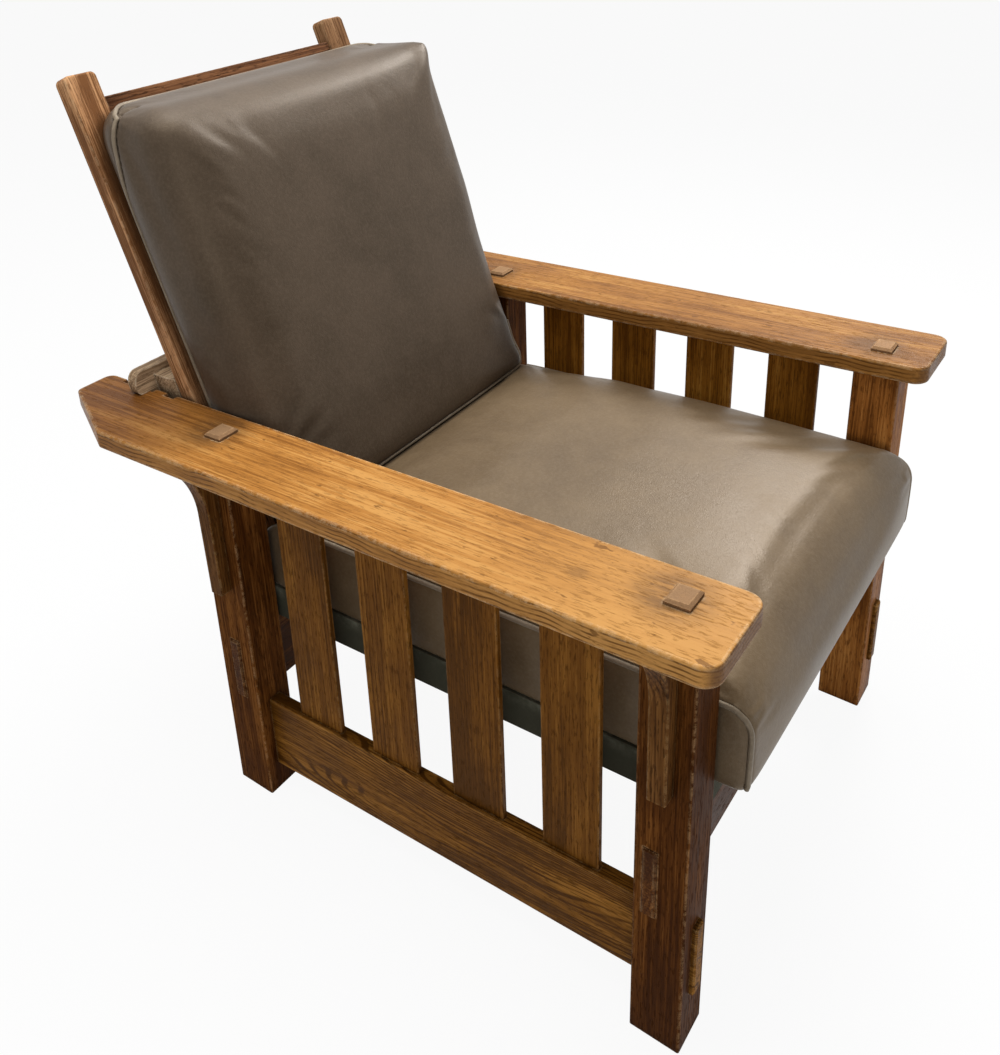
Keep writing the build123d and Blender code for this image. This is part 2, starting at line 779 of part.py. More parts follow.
def seat_section(x, fullness, draw):
    """The seat cushion's outline from the side, drawn in all round by one length."""
    low = cushion_bottom + draw
    nose = draw - cushion_nose_overhang - cushion_nose_swell * fullness
    rear = cushion_rear - draw
    front_top = cushion_edge_top + cushion_crown * fullness * cushion_front_fullness_share - draw
    crown_top = cushion_edge_top + cushion_crown * fullness + cushion_edge_bow * (1 - fullness) - draw
    junction_y = rear - cushion_junction_length
    junction_z = cushion_edge_top - cushion_junction_drop - draw
    rear_top = junction_z - cushion_rear_drop
    crown_y = nose + (junction_y - nose) * cushion_crown_place_share
    low_corner = cushion_bottom_radius * diagonal_share
    top_corner = cushion_top_radius * diagonal_share
    rear_corner = cushion_rear_radius * diagonal_share
    with BuildSketch(side(x)) as section:
        with BuildLine() as outline:
            Line((rear, low), (nose + cushion_bottom_radius, low))
            ThreePointArc(
                (nose + cushion_bottom_radius, low),
                (nose + low_corner, low + low_corner),
                (nose, low + cushion_bottom_radius),
            )
            Line((nose, low + cushion_bottom_radius), (nose, front_top - cushion_top_radius))
            ThreePointArc(
                (nose, front_top - cushion_top_radius),
                (nose + top_corner, front_top - top_corner),
                (nose + cushion_top_radius, front_top),
            )
            ThreePointArc(
                (nose + cushion_top_radius, front_top),
                (crown_y, crown_top),
                (junction_y, junction_z),
            )
            Line((junction_y, junction_z), (rear - cushion_rear_radius, rear_top))
            ThreePointArc(
                (rear - cushion_rear_radius, rear_top),
                (rear - rear_corner, rear_top - rear_corner),
                (rear, rear_top - cushion_rear_radius),
            )
            Line((rear, rear_top - cushion_rear_radius), (rear, low))
        make_face(outline.edges())
    return section.sketch


def seat_fullness(share):
    """How much of the crown the cushion has at a share of its half width."""
    return (1 - share**cushion_flat_power) ** cushion_edge_power


seat_stations = [(-share, draw) for share, draw in cushion_station_shares]
seat_stations += [(share, draw) for share, draw in reversed(cushion_station_shares)]

with BuildPart() as seat_cushion:
    seat_sections = [
        seat_section(cushion_half * share, seat_fullness(share), cushion_draw * draw)
        for share, draw in seat_stations
    ]
    loft(seat_sections, ruled=True)
save(seat_cushion, "seat_cushion")


# Back cushion
def back_section(up, width_share, thickness_share):
    """The back cushion's outline at one height, seen along the slope."""
    rear_half = back_cushion_rear_half * width_share
    welt_half = back_cushion_welt_half * width_share
    front_half = back_cushion_front_half * width_share
    edge_out = back_cushion_edge * thickness_share
    crown_out = (back_cushion_edge + back_cushion_crown) * thickness_share
    corner_out = edge_out - back_cushion_corner
    welt_out = back_cushion_welt_out * thickness_share
    side_half = (welt_half + front_half) / 2 + back_cushion_side_bulge
    corner_in = back_cushion_corner * diagonal_share
    with BuildSketch(across_back(up)) as section:
        with BuildLine() as outline:
            Line((-rear_half, -rest_gap), (rear_half, -rest_gap))
            for sign in (1, -1):
                Line((sign * rear_half, -rest_gap), (sign * welt_half, -welt_out))
                ThreePointArc(
                    (sign * welt_half, -welt_out),
                    (sign * side_half, -(welt_out + corner_out) / 2),
                    (sign * front_half, -corner_out),
                )
                ThreePointArc(
                    (sign * front_half, -corner_out),
                    (sign * (front_half - corner_in), -(edge_out - corner_in)),
                    (sign * (front_half - back_cushion_corner), -edge_out),
                )
            ThreePointArc(
                (front_half - back_cushion_corner, -edge_out),
                (0, -crown_out),
                (back_cushion_corner - front_half, -edge_out),
            )
        make_face(outline.edges())
    return section.sketch


with BuildPart() as back_cushion:
    back_sections = [
        back_section(back_cushion_lift + back_cushion_length * share, width, thickness)
        for share, width, thickness in back_cushion_station_shares
    ]
    loft(back_sections, ruled=True)
save(back_cushion, "back_cushion")
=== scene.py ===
# %% [markdown]
# A reclining armchair: an oak frame with broad flat arms, a hinged back that leans on a loose bar,
# and two leather cushions. The wooden pieces come ready made, at their real size, in the frame that
# is loaded here. This file gives every one of them its finish and makes the two cushions.
# Everything is in metres: X runs across the chair, Y from its front to its rear, and Z is up.

# %% Load the frame
import json
import math

import bpy
import numpy as np
from mathutils import Matrix, Vector


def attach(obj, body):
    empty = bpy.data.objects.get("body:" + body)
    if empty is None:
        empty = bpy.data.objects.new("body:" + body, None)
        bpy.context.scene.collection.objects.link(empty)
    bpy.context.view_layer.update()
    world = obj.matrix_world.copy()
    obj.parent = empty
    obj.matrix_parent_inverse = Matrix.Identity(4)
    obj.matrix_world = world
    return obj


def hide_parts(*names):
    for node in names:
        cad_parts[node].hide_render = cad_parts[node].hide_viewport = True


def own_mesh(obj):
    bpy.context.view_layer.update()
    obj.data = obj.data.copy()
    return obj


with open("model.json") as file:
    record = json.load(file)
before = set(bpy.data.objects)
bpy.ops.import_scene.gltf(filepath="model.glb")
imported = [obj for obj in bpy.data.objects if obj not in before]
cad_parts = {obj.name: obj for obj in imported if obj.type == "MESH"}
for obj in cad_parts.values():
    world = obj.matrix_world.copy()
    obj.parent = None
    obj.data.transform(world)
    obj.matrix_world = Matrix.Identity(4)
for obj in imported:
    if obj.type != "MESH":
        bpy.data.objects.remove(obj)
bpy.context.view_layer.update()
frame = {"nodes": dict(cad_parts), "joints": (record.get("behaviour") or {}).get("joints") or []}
bpy.ops.object.select_all(action="DESELECT")
scene = bpy.context.scene
print("pieces in the frame:", len(frame["nodes"]))

# %% [markdown]
# The rear legs are a little shorter than the front ones, so the chair leans back as it stands. Its
# seat and arms are level only in a frame of their own, which is tipped by that much. The back has a
# third frame, along its slope. Both are matrices here, so that each cushion can be modelled square
# and then put in its place in one step.

# %% The chair's own frame and the back's
REAR_LEG_CUT = 0.030
BASE_DEPTH = 0.675
STILE_THICKNESS = 0.024
PIVOT_IN_CHAIR = Vector((0.0, 0.663, 0.314))
QUARTER_TURN = math.radians(90)

joints = {joint["name"]: joint for joint in frame["joints"]}
pivot = Vector(joints["back_recline"]["pos_m"])
back_up = Vector(joints["support_bar_lift"]["axis"]).normalized()
back_out = Vector((0, -back_up.z, back_up.y))
back_lean = math.atan2(back_up.y, back_up.z)

tip_back = math.atan2(REAR_LEG_CUT, BASE_DEPTH)
tipped = Matrix.Rotation(-tip_back, 4, "X")
CHAIR = Matrix.Translation(pivot - tipped @ PIVOT_IN_CHAIR) @ tipped

back_origin = pivot + back_out * STILE_THICKNESS / 2
BACK = Matrix(((1, 0, 0), back_up, back_out)).transposed().to_4x4()
BACK.translation = back_origin
print("leans back by", round(math.degrees(tip_back), 2), "degrees, its back by", end=" ")
print(round(math.degrees(back_lean), 2))

# %% [markdown]
# The camera stands in front of the chair and to its right, a little above a standing eye, and looks
# down on it. It is turned to its heading, dipped and rolled one after the other, which is easier to
# read as three rotations than as one matrix. A camera looks straight down until it is turned up by a
# quarter. The shift slides the picture in its frame.

# %% Camera
CAMERA_PLACE = Vector((-1.1107, -0.7198, 1.2423))
CAMERA_HEADING = math.radians(52.751)
CAMERA_DIP = math.radians(24.991)
CAMERA_ROLL = math.radians(-1.434)
CAMERA_LENS = 37.3
CAMERA_SHIFT = (0.0758, -0.1872)

bpy.ops.object.camera_add()
camera = bpy.context.object
camera.name = "photo_camera"
camera.matrix_world = (
    Matrix.Translation(CAMERA_PLACE)
    @ Matrix.Rotation(-CAMERA_HEADING, 4, "Z")
    @ Matrix.Rotation(QUARTER_TURN - CAMERA_DIP, 4, "X")
    @ Matrix.Rotation(CAMERA_ROLL, 4, "Z")
)
camera.data.lens = CAMERA_LENS
camera.data.shift_x, camera.data.shift_y = CAMERA_SHIFT
scene.camera = camera
print("camera at", tuple(round(c, 3) for c in camera.location))

# %% [markdown]
# A material is a tree of nodes. A few helpers keep the trees short to read: they add a node and join
# or set its inputs, start a tree with its surface shader, mix two colours, and do sums.

# %% Nodes, colours and sums
MIX_SHARE, MIX_FIRST, MIX_SECOND, MIX_RESULT = 0, 6, 7, 2


def node(tree, kind, inputs=None, **settings):
    """Adds a node, sets its settings, and joins or sets each named input."""
    made = tree.nodes.new("ShaderNode" + kind)
    for name, value in settings.items():
        setattr(made, name, value)
    for name, value in (inputs or {}).items():
        if isinstance(value, bpy.types.NodeSocket):
            tree.links.new(value, made.inputs[name])
        else:
            made.inputs[name].default_value = value
    return made


def surface(name, roughness, specular=0.5):
    """Starts a material and returns it with its tree and its surface shader."""
    material = bpy.data.materials.new(name)
    material.use_nodes = True
    tree = material.node_tree
    tree.nodes.clear()
    shader = node(tree, "BsdfPrincipled", {"Roughness": roughness, "Specular IOR Level": specular})
    out = node(tree, "OutputMaterial")
    tree.links.new(shader.outputs[0], out.inputs[0])
    return material, tree, shader


def mix(tree, share, first, second, blend="MIX"):
    """Mixes two colours by a share."""
    first, second = (c if isinstance(c, bpy.types.NodeSocket) else (*c, 1) for c in (first, second))
    inputs = {MIX_SHARE: share, MIX_FIRST: first, MIX_SECOND: second}
    return node(tree, "Mix", inputs, data_type="RGBA", blend_type=blend).outputs[MIX_RESULT]


def sums(tree, operation, first, second=0.0):
    """One sum on two numbers or sockets."""
    return node(tree, "Math", {0: first, 1: second}, operation=operation).outputs[0]


def total(tree, *parts):
    """Adds up sockets, each times its own share."""
    added = 0.0
    for socket, share in parts:
        inputs = {0: socket, 1: share, 2: added}
        added = node(tree, "Math", inputs, operation="MULTIPLY_ADD").outputs[0]
    return added


print("node helpers ready")

# %% [markdown]
# Nearly every finish is built up in the same way: noise gives spots of some size, a stretch of its
# values is spread out into a mask with soft borders, and a second colour is painted over the first
# where the mask is. A pattern is four numbers here: the spots in a metre across and along the grain,
# their detail and their roughness. A border is the two values where the mask starts and is full, and
# after them, if it doesn't go from nothing to all, what it is at each.

# %% Spots, masks and paint
WHOLE = (0.0, 1.0)


def spread(tree, value, low, high, to_low=0.0, to_high=1.0):
    """Spreads the stretch of a value from low to high over a new range, softly at both ends."""
    inputs = {"Value": value, "From Min": low, "From Max": high, "To Min": to_low, "To Max": to_high}
    return node(tree, "MapRange", inputs, interpolation_type="SMOOTHSTEP").outputs["Result"]


def noise(tree, coords, pattern):
    """Noise in a pattern, on coordinates whose third axis runs along the grain."""
    across, along, detail, rough = pattern
    placed = node(tree, "Mapping", {"Vector": coords, "Scale": (across, across, along)})
    inputs = {"Vector": placed.outputs[0], "Scale": 1.0, "Detail": detail, "Roughness": rough}
    return node(tree, "TexNoise", inputs).outputs[0]


def patches(tree, coords, pattern, border):
    """A mask of patches in a pattern."""
    return spread(tree, noise(tree, coords, pattern), *border)


def paint(tree, under, over, mask, depth):
    """Paints one colour over another where a mask is, to a depth."""
    return mix(tree, sums(tree, "MULTIPLY", mask, depth), under, over)


def darker(colour, share):
    """A share of a colour."""
    return tuple(share * part for part in colour)


def axis_of(tree, vector, axis):
    """One of a vector's three numbers."""
    return node(tree, "SeparateXYZ", {0: vector}).outputs[axis]


def relief(tree, shader, height, depth, strength):
    """Gives the surface a relief that only the light sees."""
    bump = node(tree, "Bump", {"Height": height, "Distance": depth, "Strength": strength})
    tree.links.new(bump.outputs[0], shader.inputs["Normal"])


print("paint helpers ready")

# %% [markdown]
# The floor is plain and pale. Seen straight on by the camera it is nearly white of its own accord,
# mixed with what the lamps give it, so that the chair keeps its soft shadow.

# %% Floor
WHITE = (1, 1, 1, 1)
FLOOR_SIZE = 60.0
FLOOR_PAINT = (0.85, 0.85, 0.85, 1)
FLOOR_ROUGHNESS = 0.9
FLOOR_SHINE = 0.1
FLOOR_WHITE = 0.93


def backdrop_share(tree):
    """One where a ray comes from the camera, a reflection or glass."""
    path = node(tree, "LightPath")
    seen = sums(tree, "MAXIMUM", path.outputs["Is Camera Ray"], path.outputs["Is Glossy Ray"])
    return sums(tree, "MAXIMUM", seen, path.outputs["Is Transmission Ray"])


bpy.ops.mesh.primitive_plane_add(size=FLOOR_SIZE)
floor = bpy.context.object
floor.name = "floor"
floor_paint, floor_tree, floor_shader = surface("floor_paint", FLOOR_ROUGHNESS, FLOOR_SHINE)
floor_shader.inputs["Base Color"].default_value = FLOOR_PAINT
glow = node(floor_tree, "Emission", {"Color": WHITE, "Strength": 1.0})
seen_share = sums(floor_tree, "MULTIPLY", backdrop_share(floor_tree), FLOOR_WHITE)
both = node(floor_tree, "MixShader", {0: seen_share, 1: floor_shader.outputs[0], 2: glow.outputs[0]})
floor_out = next(n for n in floor_tree.nodes if n.type == "OUTPUT_MATERIAL")
floor_tree.links.new(both.outputs[0], floor_out.inputs[0])
floor.data.materials.append(floor_paint)
print("floor:", FLOOR_SIZE, "m wide")

# %% [markdown]
# The world looks white, also in a reflection, but lights the chair only gently. The light itself
# comes from one wide lamp overhead, like a shop's ceiling. Two on the far side give the leather its
# highlights, and a weak one stands beside the camera.

# %% World and lamps
SKY_LIGHT = 0.26

world = bpy.data.worlds.new("studio")
scene.world = world
world.use_nodes = True
sky_tree = world.node_tree
sky_tree.nodes.clear()
sky_level = spread(sky_tree, backdrop_share(sky_tree), *WHOLE, SKY_LIGHT, 1.0)
sky = node(sky_tree, "Background", {"Color": WHITE, "Strength": sky_level})
sky_out = node(sky_tree, "OutputWorld")
sky_tree.links.new(sky.outputs[0], sky_out.inputs[0])


def lamp(name, place, aim, size, watts):
    """A round soft lamp at a place, turned to what it lights."""
    bpy.ops.object.light_add(type="AREA", location=place)
    made = bpy.context.object
    made.name = name
    made.data.shape = "DISK"
    made.data.size = size
    made.data.energy = watts
    made.rotation_euler = (Vector(aim) - Vector(place)).to_track_quat("-Z", "Y").to_euler()


lamp("ceiling_lamp", place=(-0.3, 0.35, 2.8), aim=(0, 0, 0.4), size=2.0, watts=42)
lamp("far_lamp", place=(1.97, 0.0, 2.3), aim=(0, -0.2, 0.5), size=1.1, watts=50)
lamp("rear_lamp", place=(0.75, 0.72, 2.75), aim=(0, 0.3, 0.8), size=0.9, watts=15)
lamp("side_lamp", place=(-2.4, -1.8, 1.5), aim=(0, 0, 0.5), size=1.6, watts=12)
scene.view_settings.view_transform = "Standard"

# %% [markdown]
# Hands and sleeves rub a finish away at its edges, and the corners are painted darker as painted shade.
# A bevel shader finds the edges, because it smooths the normal only close to one: where the smoothed
# normal leaves the plain one, there is an edge. Ambient occlusion finds the corners. Both work on any
# mesh, so the frame's pieces need no painting by hand.

# %% Worn edges and painted shade in the corners
EDGE_BORDER = (0.995, 0.89)
LOOKS_PER_SPOT = 4


def edge_share(tree, reach):
    """One at an outer edge, falling to nothing at a short way from it."""
    rounded = node(tree, "Bevel", {"Radius": reach}, samples=LOOKS_PER_SPOT)
    plain = node(tree, "NewGeometry")
    inputs = {0: rounded.outputs[0], 1: plain.outputs["Normal"]}
    likeness = node(tree, "VectorMath", inputs, operation="DOT_PRODUCT").outputs["Value"]
    return spread(tree, likeness, *EDGE_BORDER)


def paint_corner_shade(tree, colour, shade_colour, reach, border):
    """Darkens the corners with a painted shade, as far from them as it reaches."""
    crevice = node(tree, "AmbientOcclusion", {"Distance": reach}, samples=LOOKS_PER_SPOT)
    return mix(tree, spread(tree, crevice.outputs["AO"], *border), colour, shade_colour)


print("wear helpers ready")

# %% [markdown]
# Growth rings are circles round a pith that lies outside the board, so on its face they run as near
# parallel lines, a few millimetres apart. Noise bends them, more so where the figure is wide.
# On the narrow faces of the arms the layers of the wood show as dark lines from end to end. Both are
# sine waves of a distance, and both fade out here and there, as real ones do.

# %% Growth rings and layers
RING_GAP = 0.0052
RING_DRIFT = (6, 1.3, 2.0, 0.5)
RING_BORDER = (0.1, 1.0)
RING_BREAKS, RING_BREAK_BORDER = (26, 3, 3.0, 0.5), (0.36, 0.66)
PITH_OFFSET = (0.21, 0.34, 0)
LAYER_GAP = 0.0058
LAYER_DRIFT, LAYER_WANDER = (5, 5, 3.0, 0.6), 0.035
LAYER_BORDER = (0.1, 0.9)
LAYER_BREAKS, LAYER_BREAK_BORDER = (30, 30, 3.0, 0.6), (0.34, 0.60, 0.15, 1.0)
UPRIGHT_BORDER = (0.75, 0.35)


def stripes(tree, distance, gap, border):
    """Lines with an even gap between them over a distance."""
    wave = sums(tree, "SINE", sums(tree, "MULTIPLY", distance, 2 * math.pi / gap))
    return spread(tree, wave, *border)


def growth_rings(tree, grain, figure):
    """Thin dark lines along the grain, broken here and there. The figure is how far they wander."""
    placed = node(tree, "Mapping", {"Vector": grain, "Location": PITH_OFFSET}).outputs[0]
    flat = {0: axis_of(tree, placed, 0), 1: axis_of(tree, placed, 1), 2: 0.0}
    away = node(tree, "CombineXYZ", flat).outputs[0]
    from_pith = node(tree, "VectorMath", {0: away}, operation="LENGTH").outputs["Value"]
    bent = total(tree, (noise(tree, grain, RING_DRIFT), figure), (from_pith, 1.0))
    whole = patches(tree, grain, RING_BREAKS, RING_BREAK_BORDER)
    return sums(tree, "MULTIPLY", stripes(tree, bent, RING_GAP, RING_BORDER), whole)


def edge_layers(tree, place):
    """The narrow faces of a flat board, and the dark lines on them where its layers are cut."""
    level = node(tree, "Mapping", {"Vector": place, "Rotation": (tip_back, 0, 0)}).outputs[0]
    drift = noise(tree, place, LAYER_DRIFT)
    height = total(tree, (drift, LAYER_WANDER), (axis_of(tree, level, 2), 1.0))
    facing = axis_of(tree, node(tree, "NewGeometry").outputs["Normal"], 2)
    upright = spread(tree, sums(tree, "ABSOLUTE", facing), *UPRIGHT_BORDER)
    whole = patches(tree, place, LAYER_BREAKS, LAYER_BREAK_BORDER)
    line = sums(tree, "MULTIPLY", stripes(tree, height, LAYER_GAP, LAYER_BORDER), whole)
    return upright, sums(tree, "MULTIPLY", line, upright)


print("rings every", RING_GAP * 1000, "mm, layers every", LAYER_GAP * 1000, "mm")

# %% [markdown]
# The wood is oak with a dark fumed finish, rubbed through to a golden brown where hands and sleeves
# wear it. Its own colour runs between three tones, by fine fibres, longer streaks, slow blotches and
# the growth rings, all drawn out along the grain. Small dark pores are strewn over it.

# %% The wood itself
FIBRES, FIBRE_SHARE = (420, 9, 4.0, 0.65), 0.42
STREAKS, STREAK_SHARE = (60, 2.2, 3.0, 0.6), 0.32
BLOTCHES, BLOTCH_SHARE = (9, 3.5, 3.0, 0.6), 0.45
TONE_BORDER = (0.47, 0.73)
DARK_HALF, LIGHT_HALF = (0.0, 0.5), (0.5, 1.0)


def board(tree, grain, tones, figure, rings):
    """The wood's colour, with its fibres and its blotches for the relief and the gloss."""
    dark, middle, light = tones
    fibre, streak, blotch = (noise(tree, grain, kind) for kind in (FIBRES, STREAKS, BLOTCHES))
    shares = (fibre, FIBRE_SHARE), (streak, STREAK_SHARE), (blotch, BLOTCH_SHARE)
    lit = spread(tree, total(tree, *shares, (growth_rings(tree, grain, figure), -rings)), *TONE_BORDER)
    colour = mix(tree, spread(tree, lit, *DARK_HALF), dark, middle)
    return mix(tree, spread(tree, lit, *LIGHT_HALF), colour, light), fibre, blotch


print("board ready")

# %% [markdown]
# What happened to the wood since is painted over that colour, in the order in which it happened: dents,
# the darkening of a part that is seldom touched and worn edges. Painted shade then darkens the corners,
# and the stains round the heads of the tenons come last. Each piece gets only what the real one shows.

# %% Oak
WOOD_TINT = (1.0, 0.78, 0.55, 1)
PORES, PORE_BORDER, PORE_SHADE = (480, 62, 3.0, 0.6), (0.53, 0.63), 0.6
DENTS, DENT_BORDER = (75, 34, 3.0, 0.6), (0.655, 0.70)
FORWARD_BORDER = (-0.35, -0.85)
FADE_TINT = (0.60, 0.52, 0.52)
RUBS, RUB_BORDER = (95, 95, 5.0, 0.75), (0.42, 0.58)
# Painted shade in the corners: its share of the dark tone, its reach and its border.
CORNER_SHADE_SHARE, CORNER_SHADE_REACH, CORNER_SHADE_BORDER = 0.25, 0.018, (0.85, 0.35, 0.0, 0.75)
STAIN_SPOTS, STAIN_SPOT_BORDER, STAIN_CORE = (130, 22, 4.0, 0.7), (0.3, 0.62, 0.2, 1.0), 0.25
SIDE_PAINTED_LIGHT = 0.25
PORE_ROUGHNESS, BLOTCH_ROUGHNESS, POLISH = 0.2, (0.3, 0.7, 0.0, 0.16), 0.1
FIBRE_RELIEF, PORE_DEPTH, PORE_STRENGTH = 0.3, 0.0004, 0.5

STAIN = (0.105, 0.050, 0.020)
HEAD_TONE = (0.335, 0.200, 0.105)
END_TONE = (0.120, 0.055, 0.027)


def stained(tree, colour, place, grain, stains):
    """Paints dark stains, each a place with its reach and depth, broken up along the grain."""
    broken = patches(tree, grain, STAIN_SPOTS, STAIN_SPOT_BORDER)
    for spot, reach, depth in stains:
        gap = node(tree, "VectorMath", {0: place, 1: spot}, operation="DISTANCE").outputs["Value"]
        near = spread(tree, gap, reach, reach * STAIN_CORE)
        colour = paint(tree, colour, STAIN, sums(tree, "MULTIPLY", near, broken), depth)
    return colour


def oak(name, turn, tones, wear=0.6, roughness=0.46, shine=0.04, figure=0.03, rings=0.07, pore=0.62,
        arris=0.004, layers=0.0, marks=0.0, ends=0.0, stains=(), fade=None, pale=None, head=None):
    """Oak with its grain along the third axis of its turned coordinates.

    tones are its dark, middle, light and worn colours. rings and layers are how dark the
    growth lines on its broad and narrow faces are, and pore how dark its pores are. arris
    is how far from an edge it is worn. marks and ends are how dark its dents and its front
    end are. stains are dark places, each with its reach and depth. fade, pale and head are
    stretches along the grain over which it darkens, lightens or is rubbed grey.
    """
    dark, _, light, worn = tones
    deep = darker(dark, PORE_SHADE)
    material, tree, shader = surface(name, roughness, shine)
    shader.inputs["Specular Tint"].default_value = WOOD_TINT
    place = node(tree, "TexCoord").outputs["Object"]
    grain = node(tree, "Mapping", {"Vector": place, "Rotation": turn}).outputs[0]
    along = axis_of(tree, grain, 2)
    colour, fibre, blotch = board(tree, grain, tones[:3], figure, rings)
    if pale:
        colour = mix(tree, spread(tree, along, *pale), colour, light)
    pores = patches(tree, grain, PORES, PORE_BORDER)
    colour = paint(tree, colour, deep, pores, pore)
    if layers:
        upright, line = edge_layers(tree, place)
        # Painted light: the upright narrow faces are painted paler, as if they were lit as well as the top.
        colour = paint(tree, colour, light, upright, SIDE_PAINTED_LIGHT)
        colour = paint(tree, colour, deep, line, layers)
    if ends:
        facing = axis_of(tree, node(tree, "NewGeometry").outputs["Normal"], 1)
        colour = paint(tree, colour, END_TONE, spread(tree, facing, *FORWARD_BORDER), ends)
    if marks:
        colour = paint(tree, colour, deep, patches(tree, grain, DENTS, DENT_BORDER), marks)
    if fade:
        colour = mix(tree, spread(tree, along, *fade), colour, FADE_TINT, "MULTIPLY")
    if head:
        colour = mix(tree, spread(tree, along, *head), colour, HEAD_TONE)
    rub = patches(tree, place, RUBS, RUB_BORDER)
    colour = paint(tree, colour, worn, sums(tree, "MULTIPLY", edge_share(tree, arris), rub), wear)
    # Painted shade: the corners are painted darker where ambient occlusion finds them.
    colour = paint_corner_shade(tree, colour, darker(dark, CORNER_SHADE_SHARE), CORNER_SHADE_REACH, CORNER_SHADE_BORDER)
    if stains:
        colour = stained(tree, colour, place, grain, stains)
    tree.links.new(colour, shader.inputs["Base Color"])
    dull = total(tree, (pores, PORE_ROUGHNESS), (spread(tree, blotch, *BLOTCH_ROUGHNESS), 1.0))
    tree.links.new(sums(tree, "ADD", dull, roughness - POLISH), shader.inputs["Roughness"])
    height = total(tree, (fibre, FIBRE_RELIEF), (pores, -1.0))
    relief(tree, shader, height, PORE_DEPTH, PORE_STRENGTH)
    return material


print("oak ready")

# %% [markdown]
# The grain runs up the posts and slats, along the arms and side rails, and across the cross rails. The
# stains lie round the posts' tenons, which come through the arms, so their places are read from the
# frame. A cup or a glass left one more mark on the near arm.

# %% Grain, tenon heads and marks
GRAIN_UP = (tip_back, 0, 0)
GRAIN_LENGTHWISE = (tip_back + QUARTER_TURN, 0, 0)
GRAIN_ACROSS = (0, -QUARTER_TURN, 0)
GRAIN_UP_THE_BACK = (back_lean, 0, 0)
STAIN_BEHIND, STAIN_REACH, STAIN_DEPTH = 0.010, 0.058, 0.75
CUP_PLACE, CUP_REACH, CUP_DEPTH = (-0.3377, 0.1323), 0.015, 0.4

chair_up = CHAIR.to_3x3() @ Vector((0, 0, 1))
chair_along = CHAIR.to_3x3() @ Vector((0, 1, 0))
LEVEL_SHIFT = CHAIR.translation.dot(chair_up)
LENGTH_SHIFT = CHAIR.translation.dot(chair_along)


def level_box(name):
    """The lowest and highest corner of a piece in the chair's own frame."""
    points = [CHAIR.inverted() @ vertex.co for vertex in frame["nodes"][name].data.vertices]
    low, high = (Vector(pick(p[axis] for p in points) for axis in range(3)) for pick in (min, max))
    return low, high


def tenon_head(name):
    """The top of a post's tenon, where the arm is stained."""
    low, high = level_box(name)
    return CHAIR @ Vector(((low.x + high.x) / 2, (low.y + high.y) / 2, high.z))


arm_top = level_box("arm_right")[1].z
post_names = [name for name in frame["nodes"] if name.startswith("post_")]
heads = [(tenon_head(name) + chair_along * STAIN_BEHIND, STAIN_REACH, STAIN_DEPTH) for name in post_names]
cup_mark = (CHAIR @ Vector((*CUP_PLACE, arm_top)), CUP_REACH, CUP_DEPTH)
print("tenon heads:", [tuple(round(c, 3) for c in stain[0]) for stain in heads])

# %% [markdown]
# The leather is a smooth, dull brown hide. Close up it has a fine pebbled grain, cells about a
# millimetre wide with small valleys between them, which only the relief shows. From a step away its
# patina matters more: broad cloudy patches, a little paler where people have sat.

# %% Leather
LEATHER_TINT = (1.0, 0.79, 0.56, 1)
CLOUDS, CLOUD_SHARE = (5.5, 5.5, 4.0, 0.55), 0.65
SCUFFS, SCUFF_SHARE = (26, 26, 5.0, 0.65), 0.35
PATINA_BORDER = (0.34, 0.66)
SPECKS, SPECK_BORDER = (240, 240, 3.0, 0.6), (0.35, 0.75, 0.0, 0.15)
HIDE_EDGE, SCUFF_BORDER, EDGE_WEAR_AND_HIGHLIGHT = 0.004, (0.4, 0.62), 0.5
# Painted shade in the seams and creases: its colour, its reach and its border.
SEAM_SHADE_COLOUR, SEAM_SHADE_REACH, SEAM_SHADE_BORDER = (0.02, 0.015, 0.012), 0.012, (0.8, 0.3, 0.0, 0.6)
HIDE_SHINE, HIDE_ROUGHNESS = 0.28, (0.3, 0.7, 0.36, 0.48)
PEBBLES, PEBBLE_RELIEF = 780.0, -0.8
CREASES, CREASE_BORDER, CREASE_RELIEF = (70, 70, 3.0, 0.7), (0.47, 0.5), 0.25
SCUFF_RELIEF, HIDE_DEPTH, HIDE_STRENGTH = 0.8, 0.0005, 0.35


def leather(name, dark, light, rub, shine=HIDE_SHINE):
    """Hide with a fine pebbled grain and a cloudy patina, paler where it is rubbed; painted highlight on
    edges, painted shade in seams.
    """
    material, tree, shader = surface(name, HIDE_ROUGHNESS[-1], shine)
    shader.inputs["Specular Tint"].default_value = LEATHER_TINT
    place = node(tree, "TexCoord").outputs["Object"]
    scuff = noise(tree, place, SCUFFS)
    tone = total(tree, (noise(tree, place, CLOUDS), CLOUD_SHARE), (scuff, SCUFF_SHARE))
    colour = mix(tree, spread(tree, tone, *PATINA_BORDER), dark, light)
    colour = mix(tree, patches(tree, place, SPECKS, SPECK_BORDER), colour, rub)
    # Paler edges: partly rubbed hide, partly a painted highlight along the rolled edges and the welts.
    rubbed = sums(tree, "MULTIPLY", edge_share(tree, HIDE_EDGE), spread(tree, scuff, *SCUFF_BORDER))
    colour = paint(tree, colour, rub, rubbed, EDGE_WEAR_AND_HIGHLIGHT)
    # Painted shade: the seams and creases are painted darker where ambient occlusion finds them.
    colour = paint_corner_shade(tree, colour, SEAM_SHADE_COLOUR, SEAM_SHADE_REACH, SEAM_SHADE_BORDER)
    tree.links.new(colour, shader.inputs["Base Color"])
    tree.links.new(spread(tree, tone, *HIDE_ROUGHNESS), shader.inputs["Roughness"])
    cells = node(tree, "TexVoronoi", {"Vector": place, "Scale": PEBBLES}, feature="SMOOTH_F1")
    creases = patches(tree, place, CREASES, CREASE_BORDER)
    valleys = (cells.outputs["Distance"], PEBBLE_RELIEF), (creases, CREASE_RELIEF), (scuff, SCUFF_RELIEF)
    relief(tree, shader, total(tree, *valleys), HIDE_DEPTH, HIDE_STRENGTH)
    return material
